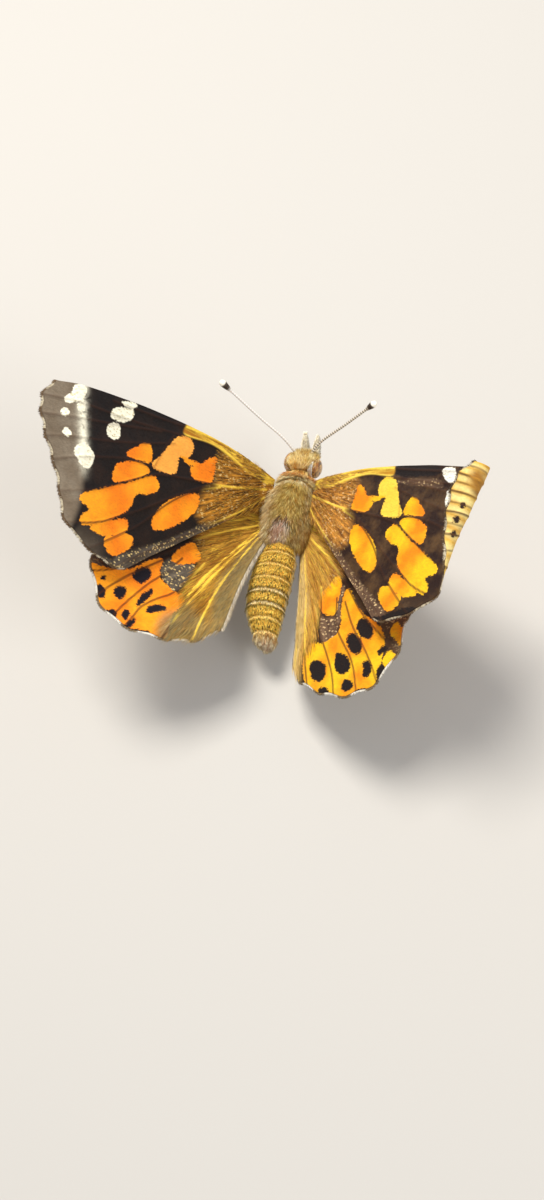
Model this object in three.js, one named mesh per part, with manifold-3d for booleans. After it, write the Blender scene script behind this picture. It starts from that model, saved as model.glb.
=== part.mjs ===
// Painted lady butterfly resting on flat ground with its wings in a V, life size.
// Millimetres, +Z up, head towards +Y, the butterfly's right side towards +X.
import * as THREE from 'three';
import { mergeVertices } from 'three/addons/utils/BufferGeometryUtils.js';
import Module from 'manifold-3d';

const wasm = await Module();
wasm.setup();

const DEG = Math.PI / 180;

// The gap between neighbouring pieces, and the thickness of every wing membrane.
const GAP = 0.3;
const MEMBRANE = 0.5;
const VEIN_HEIGHT = 0.14;
const VEIN_HALF_WIDTH = 0.24;
const VEIN_SHARE = 0.3;

// Scales share squared times the rest of the way so that its peak is one.
const BOW_PEAK = 6.75;

// The body is a row of stations: the centre x, y, z, then half width and half height.
const BODY_SIDES = 24;
const WAIST_Y = -1.1;
const THORAX = [
  [0.0, -1.35, 4.75, 1.35, 1.4],
  [0.0, -1.0, 4.85, 1.8, 1.85],
  [0.05, 0.3, 5.1, 2.3, 2.3],
  [0.15, 2.2, 5.4, 2.5, 2.5],
  [0.25, 4.0, 5.75, 2.25, 2.25],
  [0.5, 5.1, 5.95, 1.8, 1.7],
  [0.7, 5.65, 6.1, 1.4, 1.35],
];
const ABDOMEN = [
  [0.0, -11.6, 3.25, 0.35, 0.4],
  [-0.05, -11.1, 3.3, 0.95, 0.9],
  [-0.3, -9.8, 3.45, 1.55, 1.5],
  [-0.55, -7.8, 3.75, 2.05, 1.95],
  [-0.5, -5.4, 4.15, 2.25, 2.15],
  [-0.25, -3.2, 4.5, 2.15, 2.1],
  [-0.05, -1.8, 4.75, 1.7, 1.8],
  [0.0, -1.3, 4.85, 1.3, 1.4],
];
const ABDOMEN_RINGS = 8;
const RING_GROOVE = 0.07;

// The head turns a little to the right, leans to the left and holds the eyes in two
// round seats. Palps and feelers start from it, right side given, in its own frame.
const HEAD = { at: [1.0, 6.85, 6.35], size: [1.45, 1.3, 1.35], turn: -14 * DEG, lean: -10 * DEG };
const EYE = { at: [1.26, 0.12, 0.12], size: [0.68, 0.98, 1.08] };
const PALP = {
  root: [0.42, 0.8, -0.7],
  middle: [0.55, 1.75, -0.35],
  tip: [0.7, 2.85, 1.35],
  base: 0.45,
  point: 0.2,
};

// A feeler leaves its root steeply and then leads straight on, measured from the root.
const ANTENNA = {
  root: [0.48, 0.78, 0.88],
  shaft: 0.26,
  club: 0.45,
  clubShare: 0.12,
  left: { rise: [-1.5, 0.5, 1.5], reach: [-8.3, 3.25, 6.8] },
  right: { rise: [0.75, 0.85, 1.15], reach: [6.0, 2.9, 7.1] },
};
const PROBOSCIS = { at: [0, 1.0, -1.2], ring: 0.42, wire: 0.25 };

// Each leg is a chain: coxa, knee, ankle, toe, given for the right side.
const LEG_SIDES = 8;
const LEGS = {
  foreleg: {
    joints: [[0.7, 4.3, 4.2], [0.95, 5.3, 2.9], [0.9, 6.5, 3.1], [0.75, 6.9, 4.2]],
    radii: [0.42, 0.36, 0.32, 0.26],
  },
  midleg: {
    joints: [[0.8, 2.2, 3.5], [4.0, 3.4, 4.1], [6.0, 4.9, 0.55], [8.2, 7.0, 0.2]],
    radii: [0.5, 0.36, 0.28, 0.26],
  },
  hindleg: {
    joints: [[0.8, 0.1, 3.2], [3.4, -1.6, 2.6], [5.7, -6.0, 0.55], [7.2, -8.8, 0.2]],
    radii: [0.5, 0.36, 0.28, 0.26],
  },
};

// Flat wing plans. The hinge is at 0,0, a runs outwards and b forwards.
// Each line runs from the root to the margin: root, bend point, margin point,
// and the share of its length where its vein starts to stand up.
const FORE_PLAN = [
  { root: [-0.9, 0.95], by: [9.0, 3.85], end: [27.8, 2.3], rise: 0 },
  { root: [-0.9, 0.7], by: [10.0, 2.9], end: [28.7, 1.0], rise: 0.1 },
  { root: [-0.9, 0.45], by: [11.0, 1.9], end: [28.4, -0.7], rise: 0.05 },
  { root: [-0.9, 0.2], by: [12.0, 0.6], end: [27.3, -2.8], rise: 0.5 },
  { root: [-0.9, -0.1], by: [12.5, -1.6], end: [25.9, -5.0], rise: 0.52 },
  { root: [-0.9, -0.4], by: [13.0, -2.1], end: [24.7, -7.5], rise: 0.05 },
  { root: [-0.9, -0.65], by: [12.0, -3.2], end: [23.7, -10.1], rise: 0.42 },
  { root: [-0.9, -0.9], by: [9.5, -3.6], end: [20.6, -12.0], rise: 0.36 },
  { root: [-0.9, -1.15], by: [7.5, -4.9], end: [17.0, -12.8], rise: 0.05 },
  { root: [-0.9, -1.4], by: [7.0, -6.3], end: [15.4, -12.5], rise: 0 },
];
const HIND_PLAN = [
  { root: [-0.9, 0.7], by: [9.0, 3.4], end: [17.2, -1.6], rise: 0 },
  { root: [-0.9, 0.4], by: [10.0, 0.6], end: [18.2, -5.0], rise: 0.1 },
  { root: [-0.9, 0.1], by: [8.6, -2.2], end: [17.0, -9.3], rise: 0.3 },
  { root: [-0.9, -0.15], by: [7.6, -4.6], end: [16.9, -13.2], rise: 0.4 },
  { root: [-0.9, -0.4], by: [6.6, -6.4], end: [14.9, -16.7], rise: 0.1 },
  { root: [-0.9, -0.65], by: [4.8, -7.0], end: [11.5, -17.8], rise: 0.3 },
  { root: [-0.9, -0.9], by: [3.2, -7.2], end: [7.8, -17.4], rise: 0.3 },
  { root: [-0.9, -1.15], by: [1.8, -7.0], end: [4.6, -16.2], rise: 0.1 },
  { root: [-0.9, -1.4], by: [1.3, -6.2], end: [2.2, -14.4], rise: 0 },
];
const SCALLOP = { fore: 0.24, hind: 0.4 };

// Bend lines of the wings, in the flat plans: the sheet stays flat on one side and
// turns up (positive) or down (negative) beyond the line, which lies on its left.
const TIP_CREASE = {
  left: { from: [24.4, 3.0], to: [23.2, -12.0], bow: 1.6, angle: -46 * DEG, radius: 2.2, fade: 0.3 },
  right: { from: [24.7, 3.0], to: [23.7, -10.5], bow: 0.85, angle: 164 * DEG, radius: 0.85, fade: 1 },
};
const HIND_DROOP = {
  left: { from: [0.5, -1.2], to: [17.0, -11.6], angle: -16 * DEG, radius: 5, bow: 0, fade: 0 },
  right: { from: [0.5, -1.2], to: [17.0, -11.6], angle: -10 * DEG, radius: 5, bow: 0, fade: 0 },
};
const INNER_TROUGH = {
  left: { from: [0.6, 0.5], to: [5.6, -17.0], angle: 42 * DEG, radius: 3.0, bow: 0, fade: 0 },
  right: { from: [0.6, 0.5], to: [5.6, -17.0], angle: -25 * DEG, radius: 3.0, bow: 0, fade: 0 },
};
const HIND_PLEAT = {
  left: { from: [1.0, -1.0], to: [13.2, -17.0], angle: 10 * DEG, radius: 4, bow: 0, fade: 0 },
  right: { from: [1.0, -1.0], to: [13.2, -17.0], angle: -4 * DEG, radius: 4, bow: 0, fade: 0 },
};

// How each wing stands on the thorax.
const FORE_ROOT = [2.2, 4.1, 6.5];
const HIND_ROOT = [2.1, 1.2, 4.75];
const FORE_STANCE = {
  left: { sweep: 4.6 * DEG, lift: 47 * DEG, pitch: 19.6 * DEG },
  right: { sweep: -15.4 * DEG, lift: 47.8 * DEG, pitch: 2.7 * DEG },
};
const HIND_STANCE = {
  left: { sweep: 4.6 * DEG, lift: 35 * DEG, pitch: 1 * DEG },
  right: { sweep: -10 * DEG, lift: 41 * DEG, pitch: 2.7 * DEG },
};

const COLOURS = {
  orange: 0xd9822b,
  brown: 0x6b4a2c,
  buff: 0xb08a52,
  eye: 0x4a3320,
  pale: 0xd8c8a0,
};

const SIDES = { left: -1, right: 1 };

function finish(colour, roughness) {
  return new THREE.MeshStandardMaterial({ color: colour, roughness, metalness: 0 });
}

// Closed meshes and the joins and cuts between them.
function toSolid(geometry) {
  const bare = geometry.clone();
  for (const name of Object.keys(bare.attributes)) {
    if (name !== 'position') {
      bare.deleteAttribute(name);
    }
  }
  const merged = mergeVertices(bare, 1e-5);
  return new wasm.Manifold(new wasm.Mesh({
    numProp: 3,
    vertProperties: new Float32Array(merged.attributes.position.array),
    triVerts: new Uint32Array(merged.index.array),
  }));
}

function largestBody(solid) {
  let best = null;
  for (const body of solid.decompose()) {
    if (!best || body.volume() > best.volume()) {
      best = body;
    }
  }
  return best;
}

function toGeometry(solid) {
  const mesh = largestBody(solid).getMesh();
  const geometry = new THREE.BufferGeometry();
  geometry.setAttribute('position', new THREE.BufferAttribute(mesh.vertProperties, 3));
  geometry.setIndex(new THREE.BufferAttribute(mesh.triVerts, 1));
  return geometry;
}

function joined(geometries) {
  return geometries.map(toSolid).reduce((whole, piece) => whole.add(piece));
}

// A closed loft: rings of points, each joined to the next, with a point at both ends.
function loft(rings, first, last) {
  const points = [];
  const triangles = [];
  const count = rings[0].length;
  for (const ring of rings) {
    for (const point of ring) {
      points.push(point.x, point.y, point.z);
    }
  }
  const start = rings.length * count;
  points.push(first.x, first.y, first.z, last.x, last.y, last.z);
  for (let row = 0; row + 1 < rings.length; row += 1) {
    for (let side = 0; side < count; side += 1) {
      const next = (side + 1) % count;
      const a = row * count + side;
      const b = row * count + next;
      triangles.push(a, b, b + count, a, b + count, a + count);
    }
  }
  const top = (rings.length - 1) * count;
  for (let side = 0; side < count; side += 1) {
    const next = (side + 1) % count;
    triangles.push(start, next, side);
    triangles.push(start + 1, top + side, top + next);
  }
  const geometry = new THREE.BufferGeometry();
  geometry.setAttribute('position', new THREE.Float32BufferAttribute(points, 3));
  geometry.setIndex(triangles);
  return geometry;
}

// One length of the body from its stations, grown outwards by a margin for cuts.
function stationAt(stations, share) {
  const curve = new THREE.CatmullRomCurve3(
    stations.map(([x, y, z]) => new THREE.Vector3(x, y, z)), false, 'centripetal');
  const sizes = new THREE.CatmullRomCurve3(
    stations.map(([, , , width, height]) => new THREE.Vector3(width, height, 0)), false, 'centripetal');
  return { centre: curve.getPoint(share), size: sizes.getPoint(share) };
}

function bodyLength(stations, rows, grow, groove) {
  const rings = [];
  for (let row = 0; row <= rows; row += 1) {
    const { centre, size } = stationAt(stations, row / rows);
    const pinch = 1 - groove(centre.y);
    const ring = [];
    for (let side = 0; side < BODY_SIDES; side += 1) {
      const turn = (side / BODY_SIDES) * 2 * Math.PI;
      ring.push(new THREE.Vector3(
        centre.x + Math.sin(turn) * (size.x * pinch + grow),
        centre.y,
        centre.z + Math.cos(turn) * (size.y * pinch + grow)));
    }
    rings.push(ring);
  }
  const tail = stationAt(stations, 0).centre;
  const front = stationAt(stations, 1).centre;
  tail.y -= 0.12 + grow;
  front.y += 0.05 + grow;
  return loft(rings, tail, front);
}

// The abdomen narrows a little between its rings.
function ringGroove(y) {
  const span = (WAIST_Y - ABDOMEN[0][1]) / ABDOMEN_RINGS;
  const place = (WAIST_Y - y) / span;
  const away = Math.abs(place - Math.round(place));
  return RING_GROOVE * Math.max(0, 1 - away / 0.2) * (place > 0.5 ? 1 : 0);
}

function smooth() {
  return 0;
}

function thoraxSolid(grow) {
  return toSolid(bodyLength(THORAX, 20, grow, smooth));
}

function abdomenSolid(grow) {
  return toSolid(bodyLength(ABDOMEN, 36, grow, grow > 0 ? smooth : ringGroove));
}

// Shapes and points of the head's own frame, placed on the body.
const headPlace = new THREE.Matrix4()
  .makeRotationFromEuler(new THREE.Euler(0, HEAD.lean, HEAD.turn, 'ZYX'))
  .setPosition(...HEAD.at);

function onHead(geometry) {
  return geometry.applyMatrix4(headPlace);
}

function onHeadPoint(point) {
  return new THREE.Vector3(...point).applyMatrix4(headPlace).toArray();
}

function ball(at, size, grow, across, down) {
  const geometry = new THREE.SphereGeometry(1, across, down);
  geometry.scale(size[0] + grow, size[1] + grow, size[2] + grow);
  geometry.translate(...at);
  return geometry;
}

function headBall(grow) {
  return onHead(ball([0, 0, 0], HEAD.size, grow, 22, 14));
}

function eyeBall(sign, grow) {
  const [x, y, z] = EYE.at;
  return onHead(ball([sign * x, y, z], EYE.size, grow, 18, 12));
}

// A round rod of changing radius along a curve, with its foot kept above the floor.
function rod(curve, steps, sides, radiusAt, floor = -Infinity) {
  const frames = curve.computeFrenetFrames(steps, false);
  const rings = [];
  const place = (point) => {
    point.z = Math.max(point.z, floor);
    return point;
  };
  for (let step = 0; step <= steps; step += 1) {
    const share = step / steps;
    const centre = curve.getPointAt(share);
    const radius = radiusAt(share);
    const ring = [];
    for (let side = 0; side < sides; side += 1) {
      const turn = (side / sides) * 2 * Math.PI;
      const point = centre.clone();
      point.addScaledVector(frames.normals[step], Math.cos(turn) * radius);
      point.addScaledVector(frames.binormals[step], Math.sin(turn) * radius);
      ring.push(place(point));
    }
    rings.push(ring);
  }
  const first = curve.getPointAt(0).addScaledVector(frames.tangents[0], -radiusAt(0) * 0.5);
  const last = curve.getPointAt(1).addScaledVector(frames.tangents[steps], radiusAt(1) * 0.5);
  return loft(rings, place(first), place(last));
}

function pathThrough(points) {
  return new THREE.CatmullRomCurve3(
    points.map((point) => new THREE.Vector3(...point)), false, 'centripetal');
}

// Wings. A point of the flat plan is bent along its lines, then stood on the thorax.
function shareAlong(a, b, line) {
  const alongA = line.to[0] - line.from[0];
  const alongB = line.to[1] - line.from[1];
  const way = (a - line.from[0]) * alongA + (b - line.from[1]) * alongB;
  return THREE.MathUtils.clamp(way / (alongA ** 2 + alongB ** 2), 0, 1);
}

// How far a point lies beyond a bend line, which bows away from it by up to line.bow.
function distanceOver(a, b, line) {
  const alongA = line.to[0] - line.from[0];
  const alongB = line.to[1] - line.from[1];
  const across = (a - line.from[0]) * -alongB + (b - line.from[1]) * alongA;
  const share = shareAlong(a, b, line);
  const bow = line.bow * BOW_PEAK * share ** 2 * (1 - share);
  return (across / Math.hypot(alongA, alongB)) * line.side + bow;
}

function bend(point, line) {
  const alongA = line.to[0] - line.from[0];
  const alongB = line.to[1] - line.from[1];
  const length = Math.hypot(alongA, alongB);
  const outA = -alongB / length;
  const outB = alongA / length;
  const over = distanceOver(point.a, point.b, line);
  if (over <= 0) {
    return point;
  }
  const along = shareAlong(point.a, point.b, line);
  const way = Math.sign(line.angle);
  const full = Math.abs(line.angle) * (1 - line.fade * THREE.MathUtils.smoothstep(along, 0.5, 1));
  const turned = Math.min(over / line.radius, full);
  const rest = Math.max(0, over - line.radius * full);
  const arm = line.radius - way * point.h;
  const across = arm * Math.sin(turned) + rest * Math.cos(turned);
  const height = way * (line.radius - arm * Math.cos(turned) + rest * Math.sin(turned));
  const shift = (across - over) * line.side;
  return { a: point.a + outA * shift, b: point.b + outB * shift, h: height };
}

function stand(point, stance, root, sign) {
  const a = point.a * Math.cos(stance.sweep) - point.b * Math.sin(stance.sweep);
  const b = point.a * Math.sin(stance.sweep) + point.b * Math.cos(stance.sweep);
  const x = a * Math.cos(stance.lift) - point.h * Math.sin(stance.lift);
  const rise = a * Math.sin(stance.lift) + point.h * Math.cos(stance.lift);
  const y = b * Math.cos(stance.pitch) - rise * Math.sin(stance.pitch);
  const z = b * Math.sin(stance.pitch) + rise * Math.cos(stance.pitch);
  return new THREE.Vector3(sign * (root[0] + x), root[1] + y, root[2] + z);
}

function onLine(line, share) {
  const back = 1 - share;
  return [0, 1].map((axis) => back * back * line.root[axis]
    + 2 * back * share * line.by[axis] + share * share * line.end[axis]);
}

// The columns of a wing: every vein has a crest and two feet, with one between veins.
function wingColumns(plan) {
  const columns = [];
  for (let vein = 0; vein < plan.length; vein += 1) {
    const inner = vein > 0 && vein + 1 < plan.length;
    if (inner) {
      columns.push({ vein, toward: vein - 1, part: 'foot' });
    }
    columns.push({ vein, toward: vein, part: 'crest' });
    if (inner) {
      columns.push({ vein, toward: vein + 1, part: 'foot' });
    }
    if (vein + 1 < plan.length) {
      columns.push({ vein, toward: vein + 1, part: 'middle' });
    }
  }
  return columns;
}

function columnPoint(plan, column, share, scallop) {
  const own = onLine(plan[column.vein], share);
  const other = onLine(plan[column.toward], share);
  const apart = Math.hypot(other[0] - own[0], other[1] - own[1]);
  let part = 0;
  if (column.part === 'foot') {
    part = Math.min(VEIN_SHARE, VEIN_HALF_WIDTH / Math.max(apart, 0.01));
  }
  if (column.part === 'middle') {
    part = 0.5;
  }
  const pull = column.part === 'middle' ? scallop * share ** 8 : 0;
  const size = 1 - pull / Math.hypot(...plan[column.vein].end);
  return [0, 1].map((axis) => (own[axis] + (other[axis] - own[axis]) * part) * size);
}

// Rows run evenly to the crease, closely round it and evenly on to the margin.
function rowShares(plan, column, crease, rows, scallop) {
  const shares = [];
  if (!crease) {
    for (let row = 0; row <= rows.inside; row += 1) {
      shares.push(row / rows.inside);
    }
    return shares;
  }
  const over = (share) => distanceOver(...columnPoint(plan, column, share, scallop), crease);
  const reach = (distance, limit) => {
    let low = 0;
    let high = limit;
    for (let step = 0; step < 20; step += 1) {
      const middle = (low + high) / 2;
      if (over(middle) < distance) {
        low = middle;
      } else {
        high = middle;
      }
    }
    return low;
  };
  const start = reach(0, 0.88);
  const stop = reach(crease.radius * Math.abs(crease.angle), 0.95);
  for (let row = 0; row < rows.inside; row += 1) {
    shares.push((row / rows.inside) * start);
  }
  for (let row = 0; row < rows.bend; row += 1) {
    shares.push(start + (row / rows.bend) * (stop - start));
  }
  for (let row = 0; row <= rows.outside; row += 1) {
    shares.push(stop + (row / rows.outside) * (1 - stop));
  }
  return shares;
}

function veinHeight(plan, column, share) {
  if (column.part !== 'crest') {
    return 0;
  }
  const { rise } = plan[column.vein];
  return VEIN_HEIGHT * Math.min(1, Math.max(0, (share - rise) / 0.08));
}

function wing(plan, bends, crease, stance, root, sign, rows, scallop) {
  const columns = wingColumns(plan);
  const count = columns.length;
  const points = [];
  const triangles = [];
  let length = 0;
  for (const face of [1, -1]) {
    for (const column of columns) {
      const shares = rowShares(plan, column, crease, rows, scallop);
      length = shares.length;
      for (const share of shares) {
        const [a, b] = columnPoint(plan, column, share, scallop);
        const h = face * (MEMBRANE / 2 + veinHeight(plan, column, share));
        const bent = bends.reduce(bend, { a, b, h });
        const point = stand(bent, stance, root, sign);
        points.push(point.x, point.y, point.z);
      }
    }
  }
  const index = (face, column, row) => (face * count + column) * length + row;
  const quad = (a, b, c, d) => {
    if (sign > 0) {
      triangles.push(a, b, c, a, c, d);
    } else {
      triangles.push(a, c, b, a, d, c);
    }
  };
  for (let column = 0; column + 1 < count; column += 1) {
    for (let row = 0; row + 1 < length; row += 1) {
      const near = index(0, column, row);
      const beside = index(0, column + 1, row);
      quad(near, beside, beside + 1, near + 1);
      const below = count * length;
      quad(near + 1 + below, beside + 1 + below, beside + below, near + below);
    }
  }
  const rim = [];
  for (let row = 0; row < length; row += 1) {
    rim.push([0, row]);
  }
  for (let column = 1; column < count; column += 1) {
    rim.push([column, length - 1]);
  }
  for (let row = length - 2; row >= 0; row -= 1) {
    rim.push([count - 1, row]);
  }
  for (let column = count - 2; column > 0; column -= 1) {
    rim.push([column, 0]);
  }
  rim.forEach(([column, row], place) => {
    const [nextColumn, nextRow] = rim[(place + 1) % rim.length];
    quad(index(0, column, row), index(0, nextColumn, nextRow),
      index(1, nextColumn, nextRow), index(1, column, row));
  });
  const geometry = new THREE.BufferGeometry();
  geometry.setAttribute('position', new THREE.Float32BufferAttribute(points, 3));
  geometry.setIndex(triangles);
  return geometry;
}

// The object, node by node.
const butterfly = new THREE.Group();

function addNode(name, solid, colour, roughness) {
  const mesh = new THREE.Mesh(toGeometry(solid), finish(colour, roughness));
  mesh.name = name;
  butterfly.add(mesh);
}

const thorax = thoraxSolid(0);
const thoraxRoom = thoraxSolid(GAP);
const abdomen = abdomenSolid(0);
const headRoom = toSolid(headBall(GAP));

addNode('thorax', thorax, COLOURS.buff, 0.9);
addNode('abdomen', abdomen.subtract(thoraxRoom), COLOURS.buff, 0.9);

const eyeRoom = joined(Object.values(SIDES).map((sign) => eyeBall(sign, GAP)));
const head = toSolid(headBall(0)).subtract(eyeRoom).subtract(thoraxRoom);
addNode('head', head, COLOURS.buff, 0.9);

const coil = new THREE.TorusGeometry(PROBOSCIS.ring, PROBOSCIS.wire, 8, 16);
coil.rotateY(Math.PI / 2);
coil.translate(...PROBOSCIS.at);
addNode('proboscis', toSolid(onHead(coil)).subtract(headRoom), COLOURS.brown, 0.5);

for (const [side, sign] of Object.entries(SIDES)) {
  addNode(`eye_${side}`, toSolid(eyeBall(sign, 0)), COLOURS.eye, 0.3);

  const palpPath = pathThrough(
    [PALP.root, PALP.middle, PALP.tip].map(([x, y, z]) => [sign * x, y, z]));
  const palpRadius = (share) => PALP.base + (PALP.point - PALP.base) * share;
  const palp = onHead(rod(palpPath, 8, 8, palpRadius));
  addNode(`palp_${side}`, toSolid(palp).subtract(headRoom), COLOURS.pale, 0.8);

  const { rise, reach } = ANTENNA[side];
  const [rootX, rootY, rootZ] = ANTENNA.root;
  const feelerRoot = onHeadPoint([sign * rootX, rootY, rootZ]);
  const feelerRise = feelerRoot.map((value, axis) => value + rise[axis]);
  const feelerTip = feelerRoot.map((value, axis) => value + reach[axis]);
  const feelerPath = pathThrough([feelerRoot, feelerRise, feelerTip]);
  const feelerRadius = (share) => {
    const along = Math.max(0, (share - 1 + ANTENNA.clubShare) / ANTENNA.clubShare);
    const swell = Math.sin(Math.min(1, along * 1.1) * Math.PI) * (along > 0 ? 1 : 0);
    return ANTENNA.shaft + (ANTENNA.club - ANTENNA.shaft) * Math.max(0, swell);
  };
  const feeler = toSolid(rod(feelerPath, 34, 8, feelerRadius));
  addNode(`antenna_${side}`, feeler.subtract(headRoom).subtract(eyeRoom), COLOURS.brown, 0.6);

  for (const [leg, { joints, radii }] of Object.entries(LEGS)) {
    const legPath = pathThrough(joints.map(([x, y, z]) => [sign * x, y, z]));
    const legRadius = (share) => {
      const place = share * (radii.length - 1);
      const low = Math.min(Math.floor(place), radii.length - 2);
      return radii[low] + (radii[low + 1] - radii[low]) * (place - low);
    };
    const limb = toSolid(rod(legPath, 20, LEG_SIDES, legRadius, 0));
    addNode(`${leg}_${side}`, limb.subtract(thoraxRoom), COLOURS.pale, 0.7);
  }

  const crease = { ...TIP_CREASE[side], side: 1 };
  const droop = { ...HIND_DROOP[side], side: -1 };
  const trough = { ...INNER_TROUGH[side], side: -1 };
  const pleat = { ...HIND_PLEAT[side], side: -1 };
  const foreRows = { inside: 8, bend: 5, outside: 3 };
  const forewing = toSolid(wing(
    FORE_PLAN, [crease, droop], crease, FORE_STANCE[side], FORE_ROOT, sign, foreRows, SCALLOP.fore));
  addNode(`forewing_${side}`, forewing.subtract(thoraxRoom), COLOURS.orange, 0.8);

  const hindRows = { inside: 12 };
  const hindwing = toSolid(wing(
    HIND_PLAN, [trough, pleat], null, HIND_STANCE[side], HIND_ROOT, sign, hindRows, SCALLOP.hind));
  addNode(`hindwing_${side}`, hindwing.subtract(thoraxRoom), COLOURS.orange, 0.8);
}

// The model stands on the floor, centred over the origin.
const box = new THREE.Box3().setFromObject(butterfly);
butterfly.position.set(-(box.min.x + box.max.x) / 2, -(box.min.y + box.max.y) / 2, -box.min.z);

export default butterfly;
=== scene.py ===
"""Painted lady butterfly, a still life-size model: its wings, coat, eyes, feelers and legs.

Shapes are worked out in millimetres in the model's own measure and moved into the frame at the end.
"""
import math

import bmesh
import bpy
import numpy as np
from mathutils import Matrix, Vector


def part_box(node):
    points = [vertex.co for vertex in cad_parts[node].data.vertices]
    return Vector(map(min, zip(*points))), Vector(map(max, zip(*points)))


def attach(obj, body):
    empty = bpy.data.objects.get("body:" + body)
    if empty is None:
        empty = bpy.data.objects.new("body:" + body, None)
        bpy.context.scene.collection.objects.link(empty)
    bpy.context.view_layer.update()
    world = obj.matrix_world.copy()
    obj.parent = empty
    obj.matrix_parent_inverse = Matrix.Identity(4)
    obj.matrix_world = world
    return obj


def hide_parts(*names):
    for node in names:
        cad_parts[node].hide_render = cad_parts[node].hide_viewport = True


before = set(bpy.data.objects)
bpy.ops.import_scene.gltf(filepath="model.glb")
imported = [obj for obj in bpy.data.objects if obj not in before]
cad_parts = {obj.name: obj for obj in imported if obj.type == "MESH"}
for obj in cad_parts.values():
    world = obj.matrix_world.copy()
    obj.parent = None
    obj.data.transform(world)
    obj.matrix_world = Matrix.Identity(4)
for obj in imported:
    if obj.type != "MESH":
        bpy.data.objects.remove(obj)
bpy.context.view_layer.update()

MM = 0.001
DEG = math.pi / 180
SIDES = {"left": -1, "right": 1}
rng = np.random.default_rng(11)

# Head, in its own frame: x to the right, y forwards, z up.
HEAD_AT = (1.0, 6.85, 6.35)
HEAD_TURN = -14 * DEG
HEAD_LEAN = -10 * DEG
EYE_AT = (1.26, 0.12, 0.12)
EYE_SIZE = (0.68, 0.98, 1.08)
head_place = (
    Matrix.Translation(HEAD_AT) @ Matrix.Rotation(HEAD_TURN, 4, "Z") @ Matrix.Rotation(HEAD_LEAN, 4, "Y")
)


def frame_shift():
    """The step in millimetres from the model's own measure to the frame, read from the eyes."""
    centres = [sum(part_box(f"eye_{side}"), Vector()) / 2 for side in SIDES]
    middle = sum(centres, Vector()) / len(centres) / MM
    return np.array(middle - head_place @ Vector((0, EYE_AT[1], EYE_AT[2])))


SHIFT = frame_shift()


def in_frame(points):
    return (np.asarray(points) + SHIFT) * MM


def mirrored(points, side):
    """Points given for the right side, on the side asked for."""
    return [(SIDES[side] * x, y, z) for x, y, z in points]


def on_head(points):
    turned = np.array(head_place)
    return np.asarray(points) @ turned[:3, :3].T + turned[:3, 3]


# ---- numbers ----
def smooth(value, low, high):
    share = np.clip((value - low) / (high - low), 0, 1)
    return share * share * (3 - 2 * share)


def unit(vectors):
    return vectors / np.maximum(np.linalg.norm(vectors, axis=-1, keepdims=True), 1e-9)


def four_point_weights(share):
    """Weights of the four neighbours of a smooth curve through evenly spaced values."""
    s2, s3 = share**2, share**3
    return (
        (-s3 + 2 * s2 - share) / 2,
        (3 * s3 - 5 * s2 + 2) / 2,
        (-3 * s3 + 4 * s2 + share) / 2,
        (s3 - s2) / 2,
    )


def smooth_rows(rows, place):
    """Rows of numbers, read smoothly at fractional row numbers."""
    rows = np.asarray(rows, float)
    last = len(rows) - 1
    low = np.clip(np.floor(place).astype(int), 0, last - 1)
    weights = four_point_weights(place - low)
    shape = (-1,) + (1,) * (rows.ndim - 1)
    picks = [rows[np.clip(low + step, 0, last)] for step in (-1, 0, 1, 2)]
    return sum(w.reshape(shape) * pick for w, pick in zip(weights, picks))


CORNER_CUTS = 2


def rounded(outline, closed=True):
    """A short outline with its corners cut, so that it runs in curves."""
    points = np.asarray(outline, float)
    for _ in range(CORNER_CUTS):
        following = np.roll(points, -1, axis=0) if closed else points[1:]
        start = points if closed else points[:-1]
        near, far = 0.75 * start + 0.25 * following, 0.25 * start + 0.75 * following
        cut = np.stack([near, far], 1).reshape(-1, 2)
        points = cut if closed else np.vstack([points[:1], cut, points[-1:]])
    return points


def segment_distance(places, start, end):
    step = end - start
    along = np.einsum("nmk,mk->nm", places[:, None] - start, step) / np.maximum((step**2).sum(1), 1e-9)
    nearest = start + np.clip(along, 0, 1)[..., None] * step
    return np.linalg.norm(places[:, None] - nearest, axis=2)


FAR_OUTSIDE = -9.0


def depth_inside(places, outline):
    """How far each plan point lies inside a rounded outline, negative outside it."""
    edge = rounded(outline)
    after = np.roll(edge, -1, axis=0)
    depth = np.full(len(places), FAR_OUTSIDE)
    low, high = edge.min(0) - 2, edge.max(0) + 2
    near = np.where(((places > low) & (places < high)).all(1))[0]
    if len(near) == 0:
        return depth
    spots = places[near]
    gap = segment_distance(spots, edge, after).min(1)
    b = spots[:, 1:2]
    crossing = (edge[:, 1] > b) != (after[:, 1] > b)
    rise = np.where(after[:, 1] == edge[:, 1], 1e-9, after[:, 1] - edge[:, 1])
    meets = edge[:, 0] + (b - edge[:, 1]) * (after[:, 0] - edge[:, 0]) / rise
    inside = (crossing & (spots[:, :1] < meets)).sum(1) % 2 == 1
    depth[near] = np.where(inside, gap, -gap)
    return depth


def depth_in_any(places, outlines):
    return np.max([depth_inside(places, outline) for outline in outlines], axis=0)


def line_distance(places, line):
    path = rounded(line, closed=False)
    return segment_distance(places, path[:-1], path[1:]).min(1)


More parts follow.
